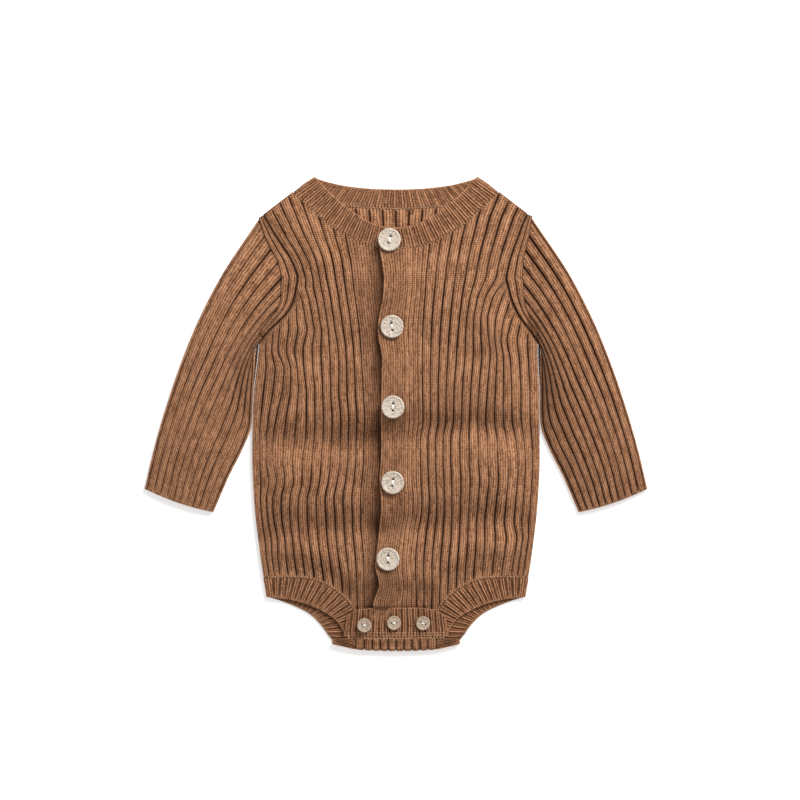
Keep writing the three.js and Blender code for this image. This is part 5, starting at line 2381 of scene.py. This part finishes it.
@dataclass
class Bodysuit:
    """The whole garment."""

    plan: BodyPlan = field(default_factory=BodyPlan)
    front_left: FrontPanel = field(
        default_factory=lambda: FrontPanel(
            "front_left",
            1,
            [
                (PLACKET_EDGE_Q, 7, 10, Knit.PLAIN),
                (7, 20.3, 4, Knit.FINE),
                (20.3, ARM_Q, 8, Knit.WIDE),
                (ARM_Q, SIDE_Q, 6, Knit.WIDE),
            ],
            (-11, 20.3, 44.9, ARM_Q, 90.75),
            Table(
                "y edge first middle arm outer",
                [
                    (20, -4, 0.8, 1.2, 3, 6), (36, -4, 0.8, 1.2, 3, 6), (53, 0.7, 0, 1, 3, 6),
                    (68, -2.4, -1, 0.3, 2.7, 6), (87, -1.2, -1.3, 0.5, 2.2, 7),
                    (102, -1.8, -1.1, -0.5, 1.3, 3.4), (118, -1.3, -0.5, -1.3, 2, 3.5),
                    (133, -2.7, -1.5, -1.8, 2.9, 4.2), (149, -1.2, -1.8, -2.7, 1.6, 3.9),
                    (165, -0.9, -1.5, -2.6, 1.6, 2.5), (180, -1, 0.5, -0.2, 0.3, -0.2),
                    (204, -0.8, 0.2, 0.1, 1.1, -0.8), (227, -0.4, -0.4, 0.8, 0.8, -2.6),
                    (243, -3.2, -0.8, 0.6, -1.7, -5.8), (251, -4.1, -1.1, 0.5, -3.3, -5),
                    (266, -2.1, -1.2, -0.2, -5, -2), (276, 0.2, -1, -0.4, -4.2, 0),
                    (ARM_Y, 1.5, -1.2, -0.8, 0, 0), (313, 0, -0.7, -0.7, 0, 0),
                ],
            ),
            Cut(0.124, 0.35, 0.0318),
            True,
        )
    )
    front_right: FrontPanel = field(
        default_factory=lambda: FrontPanel(
            "front_right",
            -1,
            [
                (UNDER_EDGE_Q, -25.5, 15, Knit.PLAIN),
                (-25.5, -ARM_Q, 7, Knit.WIDE),
                (-ARM_Q, -SIDE_Q, 6, Knit.WIDE),
            ],
            (25.5, 44.4, ARM_Q, 90.75),
            Table(
                "y first middle arm outer",
                [
                    (36, 1.2, 0, -6.8, -6.8), (53, 1.5, 0.1, -6.8, -6.8), (71, 1.7, -1.3, -7.2, -6.8),
                    (87, -0.2, -3.1, -8.3, -5.5), (102, -2.5, -4.2, -8.6, -6.8),
                    (118, -2.7, -4.8, -7.4, -6.6), (133, -1.4, -1.8, -4, -2.9), (149, 0.1, 0.4, -3.2, -5.2),
                    (165, 0.3, 0.8, -1.3, -5.3), (180, 1.1, 1.1, -0.4, -3.2), (204, -0.3, -0.8, -1, 1.2),
                    (219, -1.2, -0.8, -2.4, 1.9), (235, -2.3, -1.5, -2.7, -3.8),
                    (250, -3.4, -4, -0.5, -3.8), (258, -4.3, -5.3, -3.1, -4.8), (270, -5.6, -7, -4.9, -3),
                    (282, -6.4, -6.8, -4.4, 0), (ARM_Y, -6.3, -6.5, 0, 0), (313, -5.8, -5.1, 0, 0),
                ],
            ),
            Cut(0.114, 0.35, 0.029),
            False,
        )
    )
    buttons: tuple[Button, ...] = (
        Button("button_1_neck", Size.LARGE, -5.2, 320.4, 72),
        Button("button_2", Size.LARGE, -3.1, 252.7, 99),
        Button("button_3", Size.LARGE, -2.4, 190.3, 88),
        Button("button_4", Size.LARGE, -2.6, 131.8, 82),
        Button("button_5", Size.LARGE, -6.2, 72.5, 90),
        Button("crotch_button_1", Size.SMALL, -24.6, 20.7, -15),
        Button("crotch_button_2", Size.SMALL, -1.6, 22.6, 6),
        Button("crotch_button_3", Size.SMALL, 21, 22.2, -26),
    )

    def build(self, shop: Workshop) -> None:
        """Build every piece in order.

        Args:
            shop: What the garment is built with.
        """
        plan, loft = self.plan, shop.loft
        bands = [Neckband().band(plan, loft)]
        for side, name in ((1, "leg_band_left"), (-1, "leg_band_right")):
            bands.append(LegBand(name, side).band(plan, loft))
        for chain in self.chains(bands, loft):
            shop.sew(chain)
        back = BackPanel()
        shop.cloth(back.name, [back.shell(plan, loft)], "rib_knit", back.cut)
        for front in (self.front_right, self.front_left):
            shop.cloth(front.name, [front.shell(plan, loft)], "rib_knit", front.cut)
        for side, name in ((1, "sleeve_left"), (-1, "sleeve_right")):
            sleeve = Sleeve(name, side, open=0.56)
            if side > 0:
                sleeve = Sleeve(name, side, open=0.84, dull=0.2)
            tube = sleeve.shell(plan)
            shop.cloth(name, [tube, sleeve.strip(plan, tube)], "rib_knit", sleeve.cut)
        for band in bands:
            shop.cloth(band.name, [band.shell()], "band_knit", band.cut)
        crotch = CrotchBand()
        shop.cloth(crotch.name, [crotch.shell(loft)], "band_knit", crotch.cut)
        for button in self.buttons:
            button.build(shop, loft.over if button.size is Size.LARGE else loft.flap)

    def chains(self, bands: Sequence[Band], loft: Loft) -> list[Chain]:
        """Lay the linked seams.

        Args:
            bands: The neckband and the two leg bands.
            loft: The height of the cloth.

        Returns:
            The seams.
        """
        chains: list[Chain] = []
        for band in bands:
            flat = [leg for leg in band.legs if isinstance(leg, Run) and leg.ribs > 2]
            for k, leg in enumerate(flat):
                share = np.linspace(0.01, 0.99, 160)
                x, y = leg.joined.at(share).T
                z = leg.height(x, y) + WALL / 2 - 0.15
                if leg.up < 0 and band.name != "neckband":
                    continue
                chains.append(Chain(f"seam_{band.name}_{k + 1}", band.name, np.stack([x, y, z], 1)))
        for side, name in ((1, "left"), (-1, "right")):
            x, y = self.plan.armhole(side).at(np.linspace(0.01, 0.97, 200)).T
            # painted shade: the dark loops run on down the underarm, where sleeve and body meet in shade
            low = np.linspace(239, 208, 24)
            pit = self.plan.width("side", low) + 1.5 + side * self.plan.lean_at(np.array(SIDE_Q), low)
            x, y = np.append(x, pit), np.append(y, low)
            z = np.full_like(x, FRONT_Z - 0.7)
            path = np.stack([side * x, y, z], 1)
            sleeve = f"sleeve_{name}"
            # painted shade: these loops wear the dark yarn, as the seam lies sunk in shade
            chains.append(Chain(f"seam_{sleeve}", sleeve, path, 1.5, 1.7, 2.4, 60, finish="shade_painted_yarn"))
        turn = np.linspace(0, math.pi, 24)
        for side, name in ((1, "left"), (-1, "right")):
            across = np.full_like(turn, side * 31.0)
            low = BackPanel.fold_line(across)
            path = stack(across, low - 2.2 * np.sin(turn), BACK_Z + CROTCH_TURN - 2.2 * np.cos(turn))
            up = np.linspace(low[0], FLAP_TOP - 1, 8)
            path = np.concatenate([path, stack(across[:8], up, loft.flap(across[:8], up))])
            band_name = f"leg_band_{name}"
            # painted shade: these loops wear the dark yarn, as they lie in the fold's shade
            chains.append(Chain(f"seam_flap_{name}", band_name, path, 1.4, 1.7, 1.7, 60, finish="shade_painted_yarn"))
        x = np.linspace(-38, 38, 120)
        for k, y in enumerate((FLAP_TOP - 0.3, FLAP_TOP + 1.6, FLAP_TOP + 3.5)):
            line = np.full_like(x, y)
            path = np.stack([x, line, loft.flap(x, line) + WALL / 2 - 0.1], 1)
            chains.append(Chain(f"seam_crotch_{k + 1}", "crotch_band", path, 2.4, 2.1, 1.4, 38))
        return chains


def main() -> None:
    """Build the scene."""
    logging.basicConfig(level=logging.INFO, format="%(message)s")
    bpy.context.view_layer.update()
    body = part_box("back_panel")
    origin = np.array([0.0, body[0][1], 0.0])
    plan = BodyPlan()
    finishes = {
        "rib_knit": KnitFinish("rib_knit").build(),
        "band_knit": KnitFinish("band_knit").build(),
        "seam_yarn": YarnFinish("seam_yarn").build(),
        # painted shade: a dark copy of the seam yarn for seams that lie sunk in shade
        "shade_painted_yarn": YarnFinish("shade_painted_yarn", (0.1, 0.04, 0.015), (0.03, 0.01, 0.004)).build(),
        "large_button": ButtonFinish("large_button", (0.7, 0.6, 0.5), (0.3, 0.23, 0.17)).build(),
        "small_button": ButtonFinish(
            "small_button", (0.55, 0.43, 0.32), (0.24, 0.16, 0.1), scale=1.3
        ).build(),
        "thread": ThreadFinish().build(),
    }
    Studio().build()
    Bodysuit(plan).build(Workshop(plan, Loft(plan), origin, finishes))


if __name__ == "__main__":
    main()
